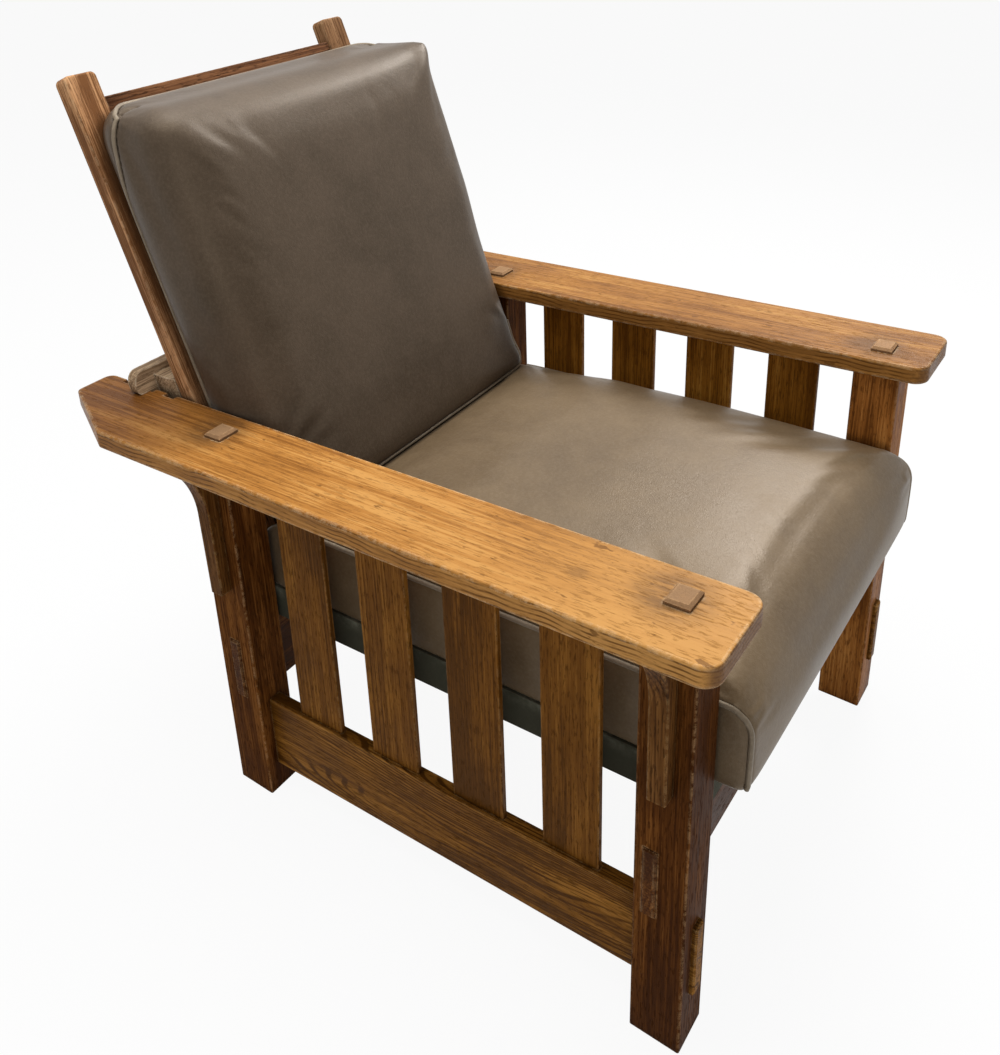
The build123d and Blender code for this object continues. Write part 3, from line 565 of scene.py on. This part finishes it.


# One leather in two copies: the seat's tones are lighter, as painted light, and the back's darker, as
# painted shade.
SEAT_HIDE_PAINTED_LIGHT = ((0.102, 0.067, 0.035), (0.144, 0.098, 0.053), (0.28, 0.215, 0.145))
BACK_HIDE_PAINTED_SHADE = ((0.053, 0.037, 0.024), (0.080, 0.057, 0.039), (0.20, 0.15, 0.105))
# The piping's paler tones are partly worn hide and partly a painted highlight, for the bright line along
# the welts.
PIPING_HIDE_AND_HIGHLIGHT = ((0.16, 0.125, 0.085), (0.25, 0.20, 0.145), (0.42, 0.35, 0.26))
SEAT_SHINE = 0.42
seat_hide_lit = leather("seat_leather_lit", *SEAT_HIDE_PAINTED_LIGHT, shine=SEAT_SHINE)
back_hide_shaded = leather("back_leather_shaded", *BACK_HIDE_PAINTED_SHADE)
piping = leather("piping_leather", *PIPING_HIDE_AND_HIGHLIGHT)
print("leathers:", seat_hide_lit.name, back_hide_shaded.name, piping.name)

# %% [markdown]
# The drop-in seat is covered in a dark grey-green cloth, gone pale where the cushion has rubbed its
# top edge. Webbing and cloth share one weave: waves that cross along all three axes, with a thread one
# or two millimetres wide, so that it needs no unwrapping where the cloth goes round an edge.

# %% Cloth and webbing
CLOTH_ROUGHNESS, CLOTH_SHINE = 0.9, 0.2
WAVE_UNIT = math.pi / 10
THREAD_WOBBLE, THREAD_DETAIL, THIRD_THREAD = 0.6, 1.0, 0.5
WEAVE_BORDER = (0.2, 1.8, 0.0, 0.5)
CLOTH_WEAR, CLOTH_WEAR_BORDER, RUBBED_BAND = (16, 16, 5.0, 0.65), (0.45, 0.68), 0.022
CLOTH_STRENGTH = 0.5


def woven(name, dark, light, thread, rub_height=None):
    """A plain weave with threads of one width, rubbed pale near a height if one is given."""
    material, tree, shader = surface(name, CLOTH_ROUGHNESS, CLOTH_SHINE)
    place = node(tree, "TexCoord").outputs["Object"]
    turned = node(tree, "Mapping", {"Vector": place, "Rotation": (tip_back, 0, 0)}).outputs[0]
    inputs = {"Scale": WAVE_UNIT / thread, "Distortion": THREAD_WOBBLE, "Detail": THREAD_DETAIL}
    waves = [node(tree, "TexWave", {"Vector": turned, **inputs}, bands_direction=direction).outputs["Fac"]
             for direction in ("X", "Y", "Z")]
    crossed = sums(tree, "ADD", waves[0], waves[1])
    weave = sums(tree, "MULTIPLY", crossed, sums(tree, "ADD", waves[2], THIRD_THREAD))
    worn = patches(tree, place, CLOTH_WEAR, CLOTH_WEAR_BORDER)
    if rub_height is not None:
        band = spread(tree, axis_of(tree, turned, 2), rub_height - RUBBED_BAND, rub_height)
        worn = sums(tree, "MULTIPLY", worn, band)
    colour = mix(tree, spread(tree, weave, *WEAVE_BORDER), dark, light)
    colour = mix(tree, worn, colour, light)
    tree.links.new(colour, shader.inputs["Base Color"])
    relief(tree, shader, weave, thread / 3, CLOTH_STRENGTH)
    return material


COVER_TONES, COVER_THREAD = ((0.044, 0.042, 0.026), (0.19, 0.19, 0.14)), 0.0011
JUTE_TONES, JUTE_THREAD = ((0.24, 0.17, 0.09), (0.50, 0.39, 0.24)), 0.0022
platform_top = level_box("platform_cover")[1].z
cover_cloth = woven("cover_cloth", *COVER_TONES, COVER_THREAD, rub_height=platform_top + LEVEL_SHIFT)
web = woven("jute_webbing", *JUTE_TONES, JUTE_THREAD)
print("platform top at", round(platform_top, 4))

# %% [markdown]
# The pins on which the back turns are plain old steel, gone brown in patches. The brown patches are
# also duller than the bare steel.

# %% Steel
STEEL_ROUGHNESS = 0.45
RUST, RUST_BORDER = (180, 180, 5.0, 0.7), (0.42, 0.62)
BARE_STEEL, BROWN_STEEL = (0.24, 0.225, 0.21), (0.12, 0.075, 0.05)
BARE_ROUGHNESS, BROWN_ROUGHNESS = 0.35, 0.7


def steel(name):
    """Old steel, brown in patches."""
    material, tree, shader = surface(name, STEEL_ROUGHNESS)
    shader.inputs["Metallic"].default_value = 1.0
    rust = patches(tree, node(tree, "TexCoord").outputs["Object"], RUST, RUST_BORDER)
    tree.links.new(mix(tree, rust, BARE_STEEL, BROWN_STEEL), shader.inputs["Base Color"])
    dull = spread(tree, rust, *WHOLE, BARE_ROUGHNESS, BROWN_ROUGHNESS)
    tree.links.new(dull, shader.inputs["Roughness"])
    return material


pin_steel = steel("pin_steel")
print("steel ready")

# %% [markdown]
# Each kind of piece has four tones: dark, middle, light and worn. The arms are the palest, worn by
# hands, and the posts the darkest. On the far side the post and slats get lighter copies of their twins'
# tones, as painted light, and the arm and the stile darker ones, as painted shade.

# %% Tones of the oak
# Painted shade: the far arm and the far stile take darker copies of their twins' tones.
FAR_ARM_PAINTED_SHADE = 0.78
FAR_STILE_PAINTED_SHADE = 0.5

POST_TONES = ((0.050, 0.015, 0.003), (0.096, 0.031, 0.006), (0.21, 0.078, 0.017), (0.55, 0.33, 0.16))
# Painted light: a lighter copy of the posts' tones, for the far front post.
FAR_POST_PAINTED_LIGHT_TONES = ((0.150, 0.050, 0.010), (0.340, 0.125, 0.026), (0.52, 0.22, 0.055), (0.62, 0.38, 0.18))
SLAT_TONES = ((0.088, 0.032, 0.004), (0.170, 0.064, 0.009), (0.28, 0.118, 0.020), (0.50, 0.30, 0.13))
# Painted light: a lighter copy of the slats' tones, for the far slats.
FAR_SLAT_PAINTED_LIGHT_TONES = ((0.140, 0.050, 0.006), (0.270, 0.106, 0.013), (0.42, 0.19, 0.033), (0.54, 0.33, 0.14))
RAIL_TONES = ((0.085, 0.031, 0.004), (0.225, 0.090, 0.013), (0.38, 0.170, 0.032), (0.58, 0.36, 0.15))
ARM_TONES = ((0.225, 0.086, 0.017), (0.40, 0.170, 0.036), (0.54, 0.268, 0.074), (0.84, 0.62, 0.37))
CORBEL_TONES = ((0.045, 0.017, 0.004), (0.110, 0.042, 0.009), (0.20, 0.086, 0.022), (0.46, 0.28, 0.12))
STILE_TONES = ((0.200, 0.084, 0.032), (0.540, 0.280, 0.130), (0.74, 0.430, 0.22), (0.82, 0.58, 0.34))
BACK_TONES = ((0.046, 0.016, 0.006), (0.130, 0.052, 0.022), (0.24, 0.105, 0.045), (0.42, 0.25, 0.14))
BAR_TONES = ((0.270, 0.175, 0.100), (0.580, 0.410, 0.250), (0.72, 0.55, 0.370), (0.80, 0.66, 0.48))
RAW_TONES = ((0.20, 0.12, 0.06), (0.42, 0.29, 0.16), (0.56, 0.42, 0.26), (0.6, 0.46, 0.3))
far_arm_painted_shade_tones = [darker(tone, FAR_ARM_PAINTED_SHADE) for tone in ARM_TONES]
far_stile_painted_shade_tones = [darker(tone, FAR_STILE_PAINTED_SHADE) for tone in STILE_TONES]
print("arm's middle tone, near and far:", ARM_TONES[1], far_arm_painted_shade_tones[1])

# %% [markdown]
# Each wooden piece takes the oak with its own grain direction and tones. The arms have the most to
# tell: layers on their narrow faces, dents, dark front ends, stains, a darker rear and, on the near
# one, a paler front. The hidden seat frame is raw wood. A table joins the start of a piece's name to
# its finish, and the longest start that fits wins.

# %% Finish the frame's pieces
def stretch(start, full, shift, depth):
    """Where along the grain a change starts, where it is full, and how strong it is there."""
    return start + shift, full + shift, 0.0, depth


POST_HEAD = stretch(arm_top - 0.002, arm_top + 0.001, LEVEL_SHIFT, 0.85)
ARM_FADE = stretch(0.50, 0.92, LENGTH_SHIFT, 0.65)
ARM_PALE = stretch(0.34, 0.03, LENGTH_SHIFT, 0.75)
ARM_WEAR = {"wear": 0.9, "roughness": 0.42, "shine": 0.09, "arris": 0.006, "layers": 0.9, "fade": ARM_FADE}
NEAR_ARM = {"pore": 0.4, "marks": 0.7, "ends": 0.75, "stains": [*heads, cup_mark], "pale": ARM_PALE}
FAR_ARM = {"pore": 0.5, "marks": 0.6, "ends": 0.5, "stains": heads}
POST_WEAR = {"wear": 0.8, "roughness": 0.52, "shine": 0.016, "head": POST_HEAD}
RAW = {"wear": 0.1, "roughness": 0.7}

cross_rails = oak("oak_cross_rails", GRAIN_ACROSS, POST_TONES, wear=0.5)
back_rails = oak("oak_back_rails", GRAIN_ACROSS, BACK_TONES, wear=0.5)
raw_lengthwise = oak("raw_wood_lengthwise", GRAIN_LENGTHWISE, RAW_TONES, **RAW)
raw_across = oak("raw_wood_across", GRAIN_ACROSS, RAW_TONES, **RAW)
finishes = {
    "post_": oak("oak_posts", GRAIN_UP, POST_TONES, **POST_WEAR),
    "post_front_left": oak("oak_far_post", GRAIN_UP, FAR_POST_PAINTED_LIGHT_TONES, head=POST_HEAD),
    "arm_": oak("oak_arms", GRAIN_LENGTHWISE, ARM_TONES, **ARM_WEAR, **NEAR_ARM),
    "arm_left": oak("oak_far_arm_painted_shade", GRAIN_LENGTHWISE, far_arm_painted_shade_tones, **ARM_WEAR, **FAR_ARM),
    "slat_": oak("oak_slats", GRAIN_UP, SLAT_TONES, wear=0.4),
    "slat_left_": oak("oak_far_slats_painted_light", GRAIN_UP, FAR_SLAT_PAINTED_LIGHT_TONES, wear=0.4),
    "side_rail_": oak("oak_side_rails", GRAIN_LENGTHWISE, RAIL_TONES, wear=0.5, figure=0.2, rings=0.26),
    "corbel_": oak("oak_corbels", GRAIN_UP, CORBEL_TONES, wear=0.5),
    "front_rail": cross_rails,
    "rear_rail": cross_rails,
    "back_stile_": oak("oak_stiles", GRAIN_UP_THE_BACK, STILE_TONES, wear=0.7),
    "back_stile_left": oak("oak_far_stile_painted_shade", GRAIN_UP_THE_BACK, far_stile_painted_shade_tones, wear=0.7),
    "top_rail": back_rails,
    "back_slat_": back_rails,
    "support_bar": oak("oak_bar", GRAIN_ACROSS, BAR_TONES, wear=0.9),
    "platform_cover": cover_cloth,
    "webbing_": web,
    "pivot_": pin_steel,
    "seat_frame_right": raw_lengthwise,
    "seat_frame_left": raw_lengthwise,
    "seat_frame_": raw_across,
    "seat_corner_blocks": raw_across,
}

for name, piece in frame["nodes"].items():
    start = max((key for key in finishes if name.startswith(key)), key=len, default=None)
    if start:
        piece.data.materials.clear()
        piece.data.materials.append(finishes[start])
print("finishes:", len(set(finishes.values())))

# %% [markdown]
# A cushion starts as a cube, cut into a fine net. Each point of the net is then moved to its place on
# the stuffed shape by one rule, which is also used to find where a seam runs. The net is then rebuilt
# with even squares, because cloth moves best on those, and its small steps are smoothed.

# %% A net in a cushion's shape
CUTS = 44
SQUARE = 0.006
SMOOTHING, SMOOTHINGS = 0.5, 3
TINY = 1e-9


def points_of(piece):
    """A mesh's points as an array."""
    flat = np.empty(len(piece.data.vertices) * 3)
    piece.data.vertices.foreach_get("co", flat)
    return flat.reshape(-1, 3)


def place_points(piece, points):
    """Moves a mesh's points."""
    piece.data.vertices.foreach_set("co", points.ravel())
    piece.data.update()


def edit_all(operator, **settings):
    """Runs an edit-mode operator on the whole mesh."""
    bpy.ops.object.mode_set(mode="EDIT")
    bpy.ops.mesh.select_all(action="SELECT")
    operator(**settings)
    bpy.ops.object.mode_set(mode="OBJECT")


def net(name, hide, shape):
    """A cube from -1 to 1, cut into a fine net, moved to its shape and rebuilt with even squares."""
    bpy.ops.object.select_all(action="DESELECT")
    bpy.ops.mesh.primitive_cube_add(size=2)
    piece = bpy.context.object
    piece.name = name
    piece.data.materials.append(hide)
    edit_all(bpy.ops.mesh.subdivide, number_cuts=CUTS)
    place_points(piece, shape(points_of(piece)))
    piece.data.remesh_voxel_size = SQUARE
    piece.data.remesh_voxel_adaptivity = 0.0
    bpy.ops.object.voxel_remesh()
    edit_all(bpy.ops.mesh.vertices_smooth, factor=SMOOTHING, repeat=SMOOTHINGS)
    return piece


print("cut in", CUTS + 1, "and rebuilt at", SQUARE * 1000, "mm")

# %% [markdown]
# Two more tools shape a cushion. One rounds the edges of a box, each point by its own radius, so an
# edge can be tight at one end and soft at the other. The other blends one part into the next.

# %% Round and ease
def rounded_box(points, half, radius):
    """Rounds the edges of a box about the origin, each point by its own radius."""
    inner = np.clip(points, -(half - radius), half - radius)
    offset = points - inner
    length = np.maximum(np.linalg.norm(offset, axis=1, keepdims=True), TINY)
    return inner + offset * np.minimum(1, radius / length)


def ease(value, low, high):
    """Rises softly from 0 to 1 between two values."""
    share = np.clip((value - low) / (high - low), 0, 1)
    return share * share * (3 - 2 * share)


print("halfway up the ease:", float(ease(0.5, 0, 1)))

# %% [markdown]
# Blender's cloth blows the cushion up with air while its seams hold, which gives the leather its pull
# between them. Gravity is off, because the shape is already that of a cushion at rest. A soft limit
# keeps every point near its place, and a subdivision then makes the net smooth.

# %% Air
AIR_FRAMES = 20
AIR_PRESSURE = 4.0
CLOTH_STEPS = 4
STRETCH = 25
BENDING = 1.5


def inflate(piece, held, reach):
    """Blows the piece up while the held points stay, and lets no point move further than reach."""
    before = points_of(piece)
    group = piece.vertex_groups.new(name="held")
    group.add([int(n) for n in np.nonzero(held)[0]], 1.0, "REPLACE")
    cloth = piece.modifiers.new("air", "CLOTH")
    cloth.settings.vertex_group_mass = group.name
    cloth.settings.use_pressure = True
    cloth.settings.uniform_pressure_force = AIR_PRESSURE
    cloth.settings.effector_weights.gravity = 0.0
    cloth.settings.quality = CLOTH_STEPS
    cloth.settings.tension_stiffness = STRETCH
    cloth.settings.compression_stiffness = STRETCH
    cloth.settings.bending_stiffness = BENDING
    cloth.point_cache.frame_start = 1
    cloth.point_cache.frame_end = AIR_FRAMES
    for step in range(1, AIR_FRAMES + 1):
        scene.frame_set(step)
    bpy.ops.object.modifier_apply(modifier=cloth.name)
    travel = points_of(piece) - before
    length = np.maximum(np.linalg.norm(travel, axis=1), TINY)
    travel *= (reach * np.tanh(length / reach) / length)[:, None]
    place_points(piece, before + travel)
    piece.vertex_groups.clear()
    scene.frame_set(1)
    print(piece.name, "swelled by", round(float(np.linalg.norm(travel, axis=1).max()), 4))


def smooth_net(piece):
    """One subdivision, applied."""
    modifier = piece.modifiers.new("smooth", "SUBSURF")
    modifier.levels = modifier.render_levels = 1
    bpy.ops.object.modifier_apply(modifier=modifier.name)
    bpy.ops.object.shade_smooth()


print("air over", AIR_FRAMES, "frames")

# %% [markdown]
# The seams come last, because the rebuild would have lost them. A seam pulls a soft groove into the
# leather, and in the groove lies a welt: a strip of hide sewn round a thin cord. It is a curve with a
# round bevel, laid on the cushion's surface, made a mesh and joined to the cushion.

# %% Seams and welts
CURVE_ORDER = 3
BEVEL_STEPS = 3
FAR_AWAY = 1e9


def path_distance(points, path):
    """How far each point is from a path of close points."""
    nearest = np.full(len(points), FAR_AWAY)
    for spot in path:
        nearest = np.minimum(nearest, ((points - spot) ** 2).sum(axis=1))
    return np.sqrt(nearest)


def press_seam(piece, path, depth, width):
    """Presses a soft groove into the leather along a seam."""
    points = points_of(piece)
    normals = np.empty(len(points) * 3)
    piece.data.vertices.foreach_get("normal", normals)
    near = np.exp(-((path_distance(points, path) / width) ** 2))
    place_points(piece, points - normals.reshape(-1, 3) * (near * depth)[:, None])


def on_surface(piece, path, lift):
    """The path laid on the piece's surface, raised or sunk by a little."""
    laid = []
    for spot in path:
        _, place, normal, _ = piece.closest_point_on_mesh(Vector(spot))
        laid.append(place + normal * lift)
    return np.array(laid)


def welt(piece, path, radius, closed=False):
    """Sews a round piping on a cushion along a path."""
    curve = bpy.data.curves.new(piece.name + "_welt", "CURVE")
    curve.dimensions = "3D"
    curve.bevel_depth = radius
    curve.bevel_resolution = BEVEL_STEPS
    curve.use_fill_caps = True
    line = curve.splines.new("NURBS")
    line.points.add(len(path) - 1)
    for spot, place in zip(line.points, path):
        spot.co = (*place, 1.0)
    line.order_u = CURVE_ORDER
    line.use_endpoint_u = not closed
    line.use_cyclic_u = closed
    cord = bpy.data.objects.new(curve.name, curve)
    scene.collection.objects.link(cord)
    bpy.ops.object.select_all(action="DESELECT")
    cord.select_set(True)
    bpy.context.view_layer.objects.active = cord
    bpy.ops.object.convert(target="MESH")
    bpy.ops.object.shade_smooth()
    cord.data.materials.clear()
    cord.data.materials.append(piping)
    piece.select_set(True)
    bpy.context.view_layer.objects.active = piece
    bpy.ops.object.join()


print("seam helpers ready")

# %% [markdown]
# The seat cushion is a box cushion: a side panel with a welt along its top and down its front, and one
# large panel that runs over the top and down the nose. It is stuffed high, so the top rises steeply
# from the welts and lies broad and low-crowned between them. Its rear end goes under the back cushion.
# The crown's line gives its height, from the nose to the rear, as shares of the full crown.

# %% Seat cushion shape
SKIN_GAP = 0.0003
SEAT_HALF = 0.2855
SEAT_NOSE = -0.033
SEAT_REAR = 0.641
SEAT_BOTTOM = platform_top + SKIN_GAP
SEAT_EDGE_HEIGHT = 0.106
SEAT_CROWN = 0.039
SEAT_CROWN_POWER = 1.5
SEAT_BREADTH_POWER = 9
SEAT_NOSE_SWELL = 0.004
SEAT_NOSE_POWER = 12
SEAT_SHOULDER, SEAT_SHOULDER_MORE = 0.030, 0.018
SEAT_REAR_ROLL, SEAT_FOOT_FRONT, SEAT_FOOT_REAR = 0.045, 0.014, 0.012
SEAT_CROWN_LINE = (
    (SEAT_NOSE, 0.74), (0.02, 0.85), (0.12, 0.95), (0.26, 1), (0.40, 0.90), (0.555, 0.34), (SEAT_REAR, -0.5)
)


def seat_shape(unit):
    """Moves a point of the unit cube to its place on the seat cushion, in the chair's own frame."""
    u, v, w = unit.T
    reach = np.maximum(np.maximum(np.abs(v), np.abs(w)), TINY)
    half = np.array([(SEAT_REAR - SEAT_NOSE) / 2, SEAT_EDGE_HEIGHT / 2])
    shoulder = SEAT_SHOULDER + SEAT_SHOULDER_MORE * (1 - u * u)
    front_edge = np.where(w > 0, shoulder, SEAT_FOOT_FRONT)
    rear_edge = np.where(w > 0, SEAT_REAR_ROLL, SEAT_FOOT_REAR)
    radius = np.where(v < 0, front_edge, rear_edge)[:, None]
    square = np.stack([v / reach, w / reach], axis=1) * half
    outline = rounded_box(square, half, radius) * reach[:, None]
    y = outline[:, 0] + (SEAT_REAR + SEAT_NOSE) / 2
    z = outline[:, 1] + SEAT_BOTTOM + SEAT_EDGE_HEIGHT / 2
    up = np.clip((z - SEAT_BOTTOM) / SEAT_EDGE_HEIGHT, 0, 1)
    across = np.sqrt(1 - np.abs(u) ** SEAT_BREADTH_POWER)
    along = np.interp(y, *zip(*SEAT_CROWN_LINE))
    z = z + SEAT_CROWN * across * along * up**SEAT_CROWN_POWER
    y = y - SEAT_NOSE_SWELL * across * np.clip(-v, 0, 1) ** SEAT_NOSE_POWER * (1 - w * w)
    return np.stack([SEAT_HALF * u, y, z], axis=1)


seat_middle = seat_shape(np.array([(0.0, 0.0, 1.0)]))[0]
print("seat height in the middle:", round(float(seat_middle[2]), 4))

# %% [markdown]
# The seat cushion is now made. What lies on the platform or is clamped under the back cushion is held
# while the air goes in, as the seams are. When it is done, the cushion goes to its place in the chair
# and rides on the base.

# %% Make the seat cushion
SEAM_HOLD = 0.007
BOTTOM_HOLD = 0.004
REAR_HOLD = 0.02
SEAT_SWELL = 0.006
SEAT_GROOVE, SEAT_GROOVE_WIDTH = 0.0022, 0.0055
SEAT_WELT, SEAT_WELT_LIFT = 0.0030, 0.0016
WELT_REAR, WELT_FOOT = 0.80, -0.86
TOP_STEPS, FRONT_STEPS = 70, 26


def seat_seam(sign):
    """The welt's path: from the rear along the top edge, over the front corner and down the front."""
    top = [(sign, v, 1.0) for v in np.linspace(WELT_REAR, -1, TOP_STEPS)]
    down = [(sign, -1.0, w) for w in np.linspace(1, WELT_FOOT, FRONT_STEPS)[1:]]
    return seat_shape(np.array(top + down))


seat = net("seat_cushion_leather", seat_hide_lit, seat_shape)
seat_paths = [seat_seam(sign) for sign in (-1, 1)]
seat_points = points_of(seat)
seat_held = path_distance(seat_points, np.concatenate(seat_paths)) < SEAM_HOLD
seat_held |= seat_points[:, 2] < SEAT_BOTTOM + BOTTOM_HOLD
seat_held |= seat_points[:, 1] > SEAT_REAR - REAR_HOLD
inflate(seat, seat_held, SEAT_SWELL)
smooth_net(seat)
for path in seat_paths:
    press_seam(seat, path, SEAT_GROOVE, SEAT_GROOVE_WIDTH)
for path in seat_paths:
    welt(seat, on_surface(seat, path, SEAT_WELT_LIFT), SEAT_WELT)
seat.data.transform(CHAIR)
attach(seat, "base")
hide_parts("seat_cushion")
print("seat cushion:", len(seat.data.vertices), "points, crown at", round(points_of(seat)[:, 2].max(), 4))

# %% [markdown]
# The back cushion is made the other way: one hide runs over the front, the sides and the top, and
# meets the flat rear panel at a welt that goes all the way round, near the back frame. Its edges are
# soft rolls, tighter on the far side, where the upper corner ends in a small ear. Above the arms it
# has room to spread. It grows thicker towards its top, and its foot bulges where it sits on the seat.

# %% How the back cushion's edges roll
BACK_NEAR_ROLL, BACK_FAR_ROLL = 0.050, 0.030
BACK_TOP_ROLL, BACK_TOP_TIGHTER = 0.046, 0.030
BACK_FOOT_ROLL, BACK_REAR_ROLL = 0.012, 0.004
BACK_CORNER, BACK_CORNER_TIGHTER = 0.045, 0.015
ROLL_TURN, CORNER_TURN = 0.6, 0.5
END_START, END_FULL = 0.80, 0.95


def back_roll(u, v):
    """How softly the front's edge rolls over: wide along the top, tight at its far corner and foot."""
    side_roll = BACK_NEAR_ROLL + (BACK_FAR_ROLL - BACK_NEAR_ROLL) * ease(u, -ROLL_TURN, ROLL_TURN)
    top_roll = BACK_TOP_ROLL - BACK_TOP_TIGHTER * np.clip(u, 0, 1) ** 3
    roll = side_roll + (top_roll - side_roll) * ease(v, END_START, END_FULL)
    return roll + (BACK_FOOT_ROLL - side_roll) * ease(-v, END_START, END_FULL)


def back_corner(u, w):
    """How round the cushion's corners are, seen from the front."""
    return BACK_CORNER - BACK_CORNER_TIGHTER * (w + 1) * ease(u, -CORNER_TURN, CORNER_TURN)


print("top roll, near and far:", [round(float(back_roll(u, 1)), 4) for u in (-1, 1)])

# %% [markdown]
# The rule for the whole back cushion starts with a rounded box. It then narrows towards the rear
# panel, slopes the top, widens above the arms, and sets the thickness and the crown from foot to top.

# %% Back cushion shape
BACK_FOOT = 0.097
BACK_TOP = 0.678
BACK_HALF = 0.2715
BACK_FREE_HALF = 0.279
BACK_REAR_HALF = 0.252
BACK_REAR_SHORTER = 0.02
BACK_WELT_OUT = 0.034
BACK_THICKNESS = 0.142
BACK_TOP_SLOPE, BACK_SLOPE_POWER = 0.036, 1.4
BACK_CROWN = 0.002
BACK_EAR, BACK_EAR_POWER = 0.005, 14
ARM_LEVEL, FREE_LEVEL = 0.31, 0.43
FREE_START, FREE_FULL = 0.1, 0.5
BACK_THICKNESS_LINE = (
    (BACK_FOOT, 0.86), (0.12, 0.90), (0.20, 0.95), (0.30, 0.98), (0.45, 1.02), (0.60, 1.06), (0.65, 1.06)
)
BACK_CROWN_LINE = ((-1, 2.4), (-0.8, 1.8), (0, 1.0), (0.8, 0.6), (1, 0))


def back_shape(unit):
    """Moves a point of the unit cube to its place on the back cushion, in the back's own frame."""
    u, v, w = unit.T
    half = np.array([BACK_HALF, (BACK_TOP - BACK_FOOT) / 2, BACK_THICKNESS / 2])
    facing = rounded_box(np.stack([u, v], axis=1) * half[:2], half[:2], back_corner(u, w)[:, None])
    radius = np.where(w > 0, back_roll(u, v), BACK_REAR_ROLL)[:, None]
    x, up, out = rounded_box(np.column_stack([facing, w * half[2]]), half, radius).T
    out = out + BACK_THICKNESS / 2
    rear = np.clip(1 - out / BACK_WELT_OUT, 0, 1)
    x = x * (1 - rear * (1 - BACK_REAR_HALF / BACK_HALF))
    up = up * (1 - rear * BACK_REAR_SHORTER)
    share = (up / half[1] + 1) / 2
    forward = np.clip(out / BACK_THICKNESS, 0, 1)
    top_here = BACK_TOP - BACK_FOOT - BACK_TOP_SLOPE * forward**BACK_SLOPE_POWER
    up = BACK_FOOT + share * top_here
    free = ease(up, ARM_LEVEL, FREE_LEVEL) * ease(forward, FREE_START, FREE_FULL)
    x = x * (1 + (BACK_FREE_HALF / BACK_HALF - 1) * free)
    crown = BACK_CROWN * (1 - np.abs(u) ** 3) * np.interp(v, *zip(*BACK_CROWN_LINE))
    out = out * np.interp(up, *zip(*BACK_THICKNESS_LINE)) + crown * forward**2
    ear = BACK_EAR * (np.clip(u, 0, 1) * np.clip(v, 0, 1) * forward) ** BACK_EAR_POWER
    return np.stack([x + ear, up + ear, out + SKIN_GAP], axis=1)


back_middle = back_shape(np.array([(0.0, 0.0, 1.0)]))[0]
print("back thickness in the middle:", round(float(back_middle[2]), 4))

# %% [markdown]
# Two welts and two tucks are sewn into it. The rear welt goes once round, and comes forward at the
# upper corners. The front welt runs along the foot, where it lies on the seat, and a little up each
# side. A tuck is a short fold at an upper corner, where the leather is gathered into the seam.

# %% The back cushion's seams
ROUND_STEPS, FOOT_STEPS, RISE_STEPS, TUCK_STEPS = 60, 60, 12, 10
REAR_WELT_OUT, CORNER_WELT_OUT = 0.021, 0.038
CORNER_START, CORNER_POWER = 0.45, 6
FOOT_WELT_OUT = 0.95
FOOT_WELT_RISE = -0.70
TUCK_ACROSS, TUCK_INWARD, TUCK_OUT, TUCK_BEND = 0.97, 0.13, -0.22, 0.12


def back_seam():
    """The rear welt's path, once round the cushion. It comes forward at the upper corners."""
    run = np.linspace(-1, 1, ROUND_STEPS)[:-1]
    ring = [(1.0, v) for v in run] + [(-u, 1.0) for u in run]
    ring += [(-1.0, -v) for v in run] + [(u, -1.0) for u in run]
    u, v = np.array(ring).T
    out = REAR_WELT_OUT + CORNER_WELT_OUT * ease(v, CORNER_START, 1.0) * np.abs(u) ** CORNER_POWER
    return back_shape(np.column_stack([u, v, 2 * out / BACK_THICKNESS - 1]))


def foot_seam():
    """The front welt's path: along the foot, where it lies on the seat, and a little up each side."""
    rise = np.linspace(FOOT_WELT_RISE, -1, RISE_STEPS)
    down = [(1.0, v, FOOT_WELT_OUT) for v in rise]
    along = [(u, -1.0, FOOT_WELT_OUT) for u in np.linspace(1, -1, FOOT_STEPS)[1:-1]]
    again_up = [(-1.0, v, FOOT_WELT_OUT) for v in rise[::-1]]
    return back_shape(np.array(down + along + again_up))


def tuck(sign):
    """A short fold in the leather at an upper corner, where the welt ends."""
    run = np.linspace(0, 1, TUCK_STEPS)
    fold = [(sign * (TUCK_ACROSS - TUCK_INWARD * t), 1.0, TUCK_OUT + TUCK_BEND * t**2) for t in run]
    return back_shape(np.array(fold))


back_path, foot_path = back_seam(), foot_seam()
print("path points, rear welt and foot welt:", len(back_path), len(foot_path))

# %% [markdown]
# The back cushion is now made as the seat was, and rides on the back. When the back tilts forward, its
# foot would go into the seat cushion, where the real foam gives way.

# %% Make the back cushion
BACK_SWELL = 0.005
BACK_GROOVE, BACK_GROOVE_WIDTH = 0.0045, 0.006
FOOT_GROOVE, FOOT_GROOVE_WIDTH = 0.0020, 0.005
TUCK_DEPTH, TUCK_WIDTH = 0.014, 0.005
BACK_WELT, BACK_WELT_LIFT = 0.0032, 0.0030
FOOT_WELT, FOOT_WELT_LIFT = 0.0026, 0.0016

back = net("back_cushion_leather", back_hide_shaded, back_shape)
back_points = points_of(back)
back_held = path_distance(back_points, np.concatenate([back_path, foot_path])) < SEAM_HOLD
back_held |= back_points[:, 2] < BOTTOM_HOLD
inflate(back, back_held, BACK_SWELL)
smooth_net(back)
press_seam(back, back_path, BACK_GROOVE, BACK_GROOVE_WIDTH)
press_seam(back, foot_path, FOOT_GROOVE, FOOT_GROOVE_WIDTH)
for sign in (-1, 1):
    press_seam(back, tuck(sign), TUCK_DEPTH, TUCK_WIDTH)
welt(back, on_surface(back, back_path, BACK_WELT_LIFT), BACK_WELT, closed=True)
welt(back, on_surface(back, foot_path, FOOT_WELT_LIFT), FOOT_WELT)
back.data.transform(BACK)
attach(back, "back")
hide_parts("back_cushion")
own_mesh(back)
print("back cushion:", len(back.data.vertices), "points")

# %% [markdown]
# Last, nothing is left selected.

# %% Finish
bpy.ops.object.select_all(action="DESELECT")
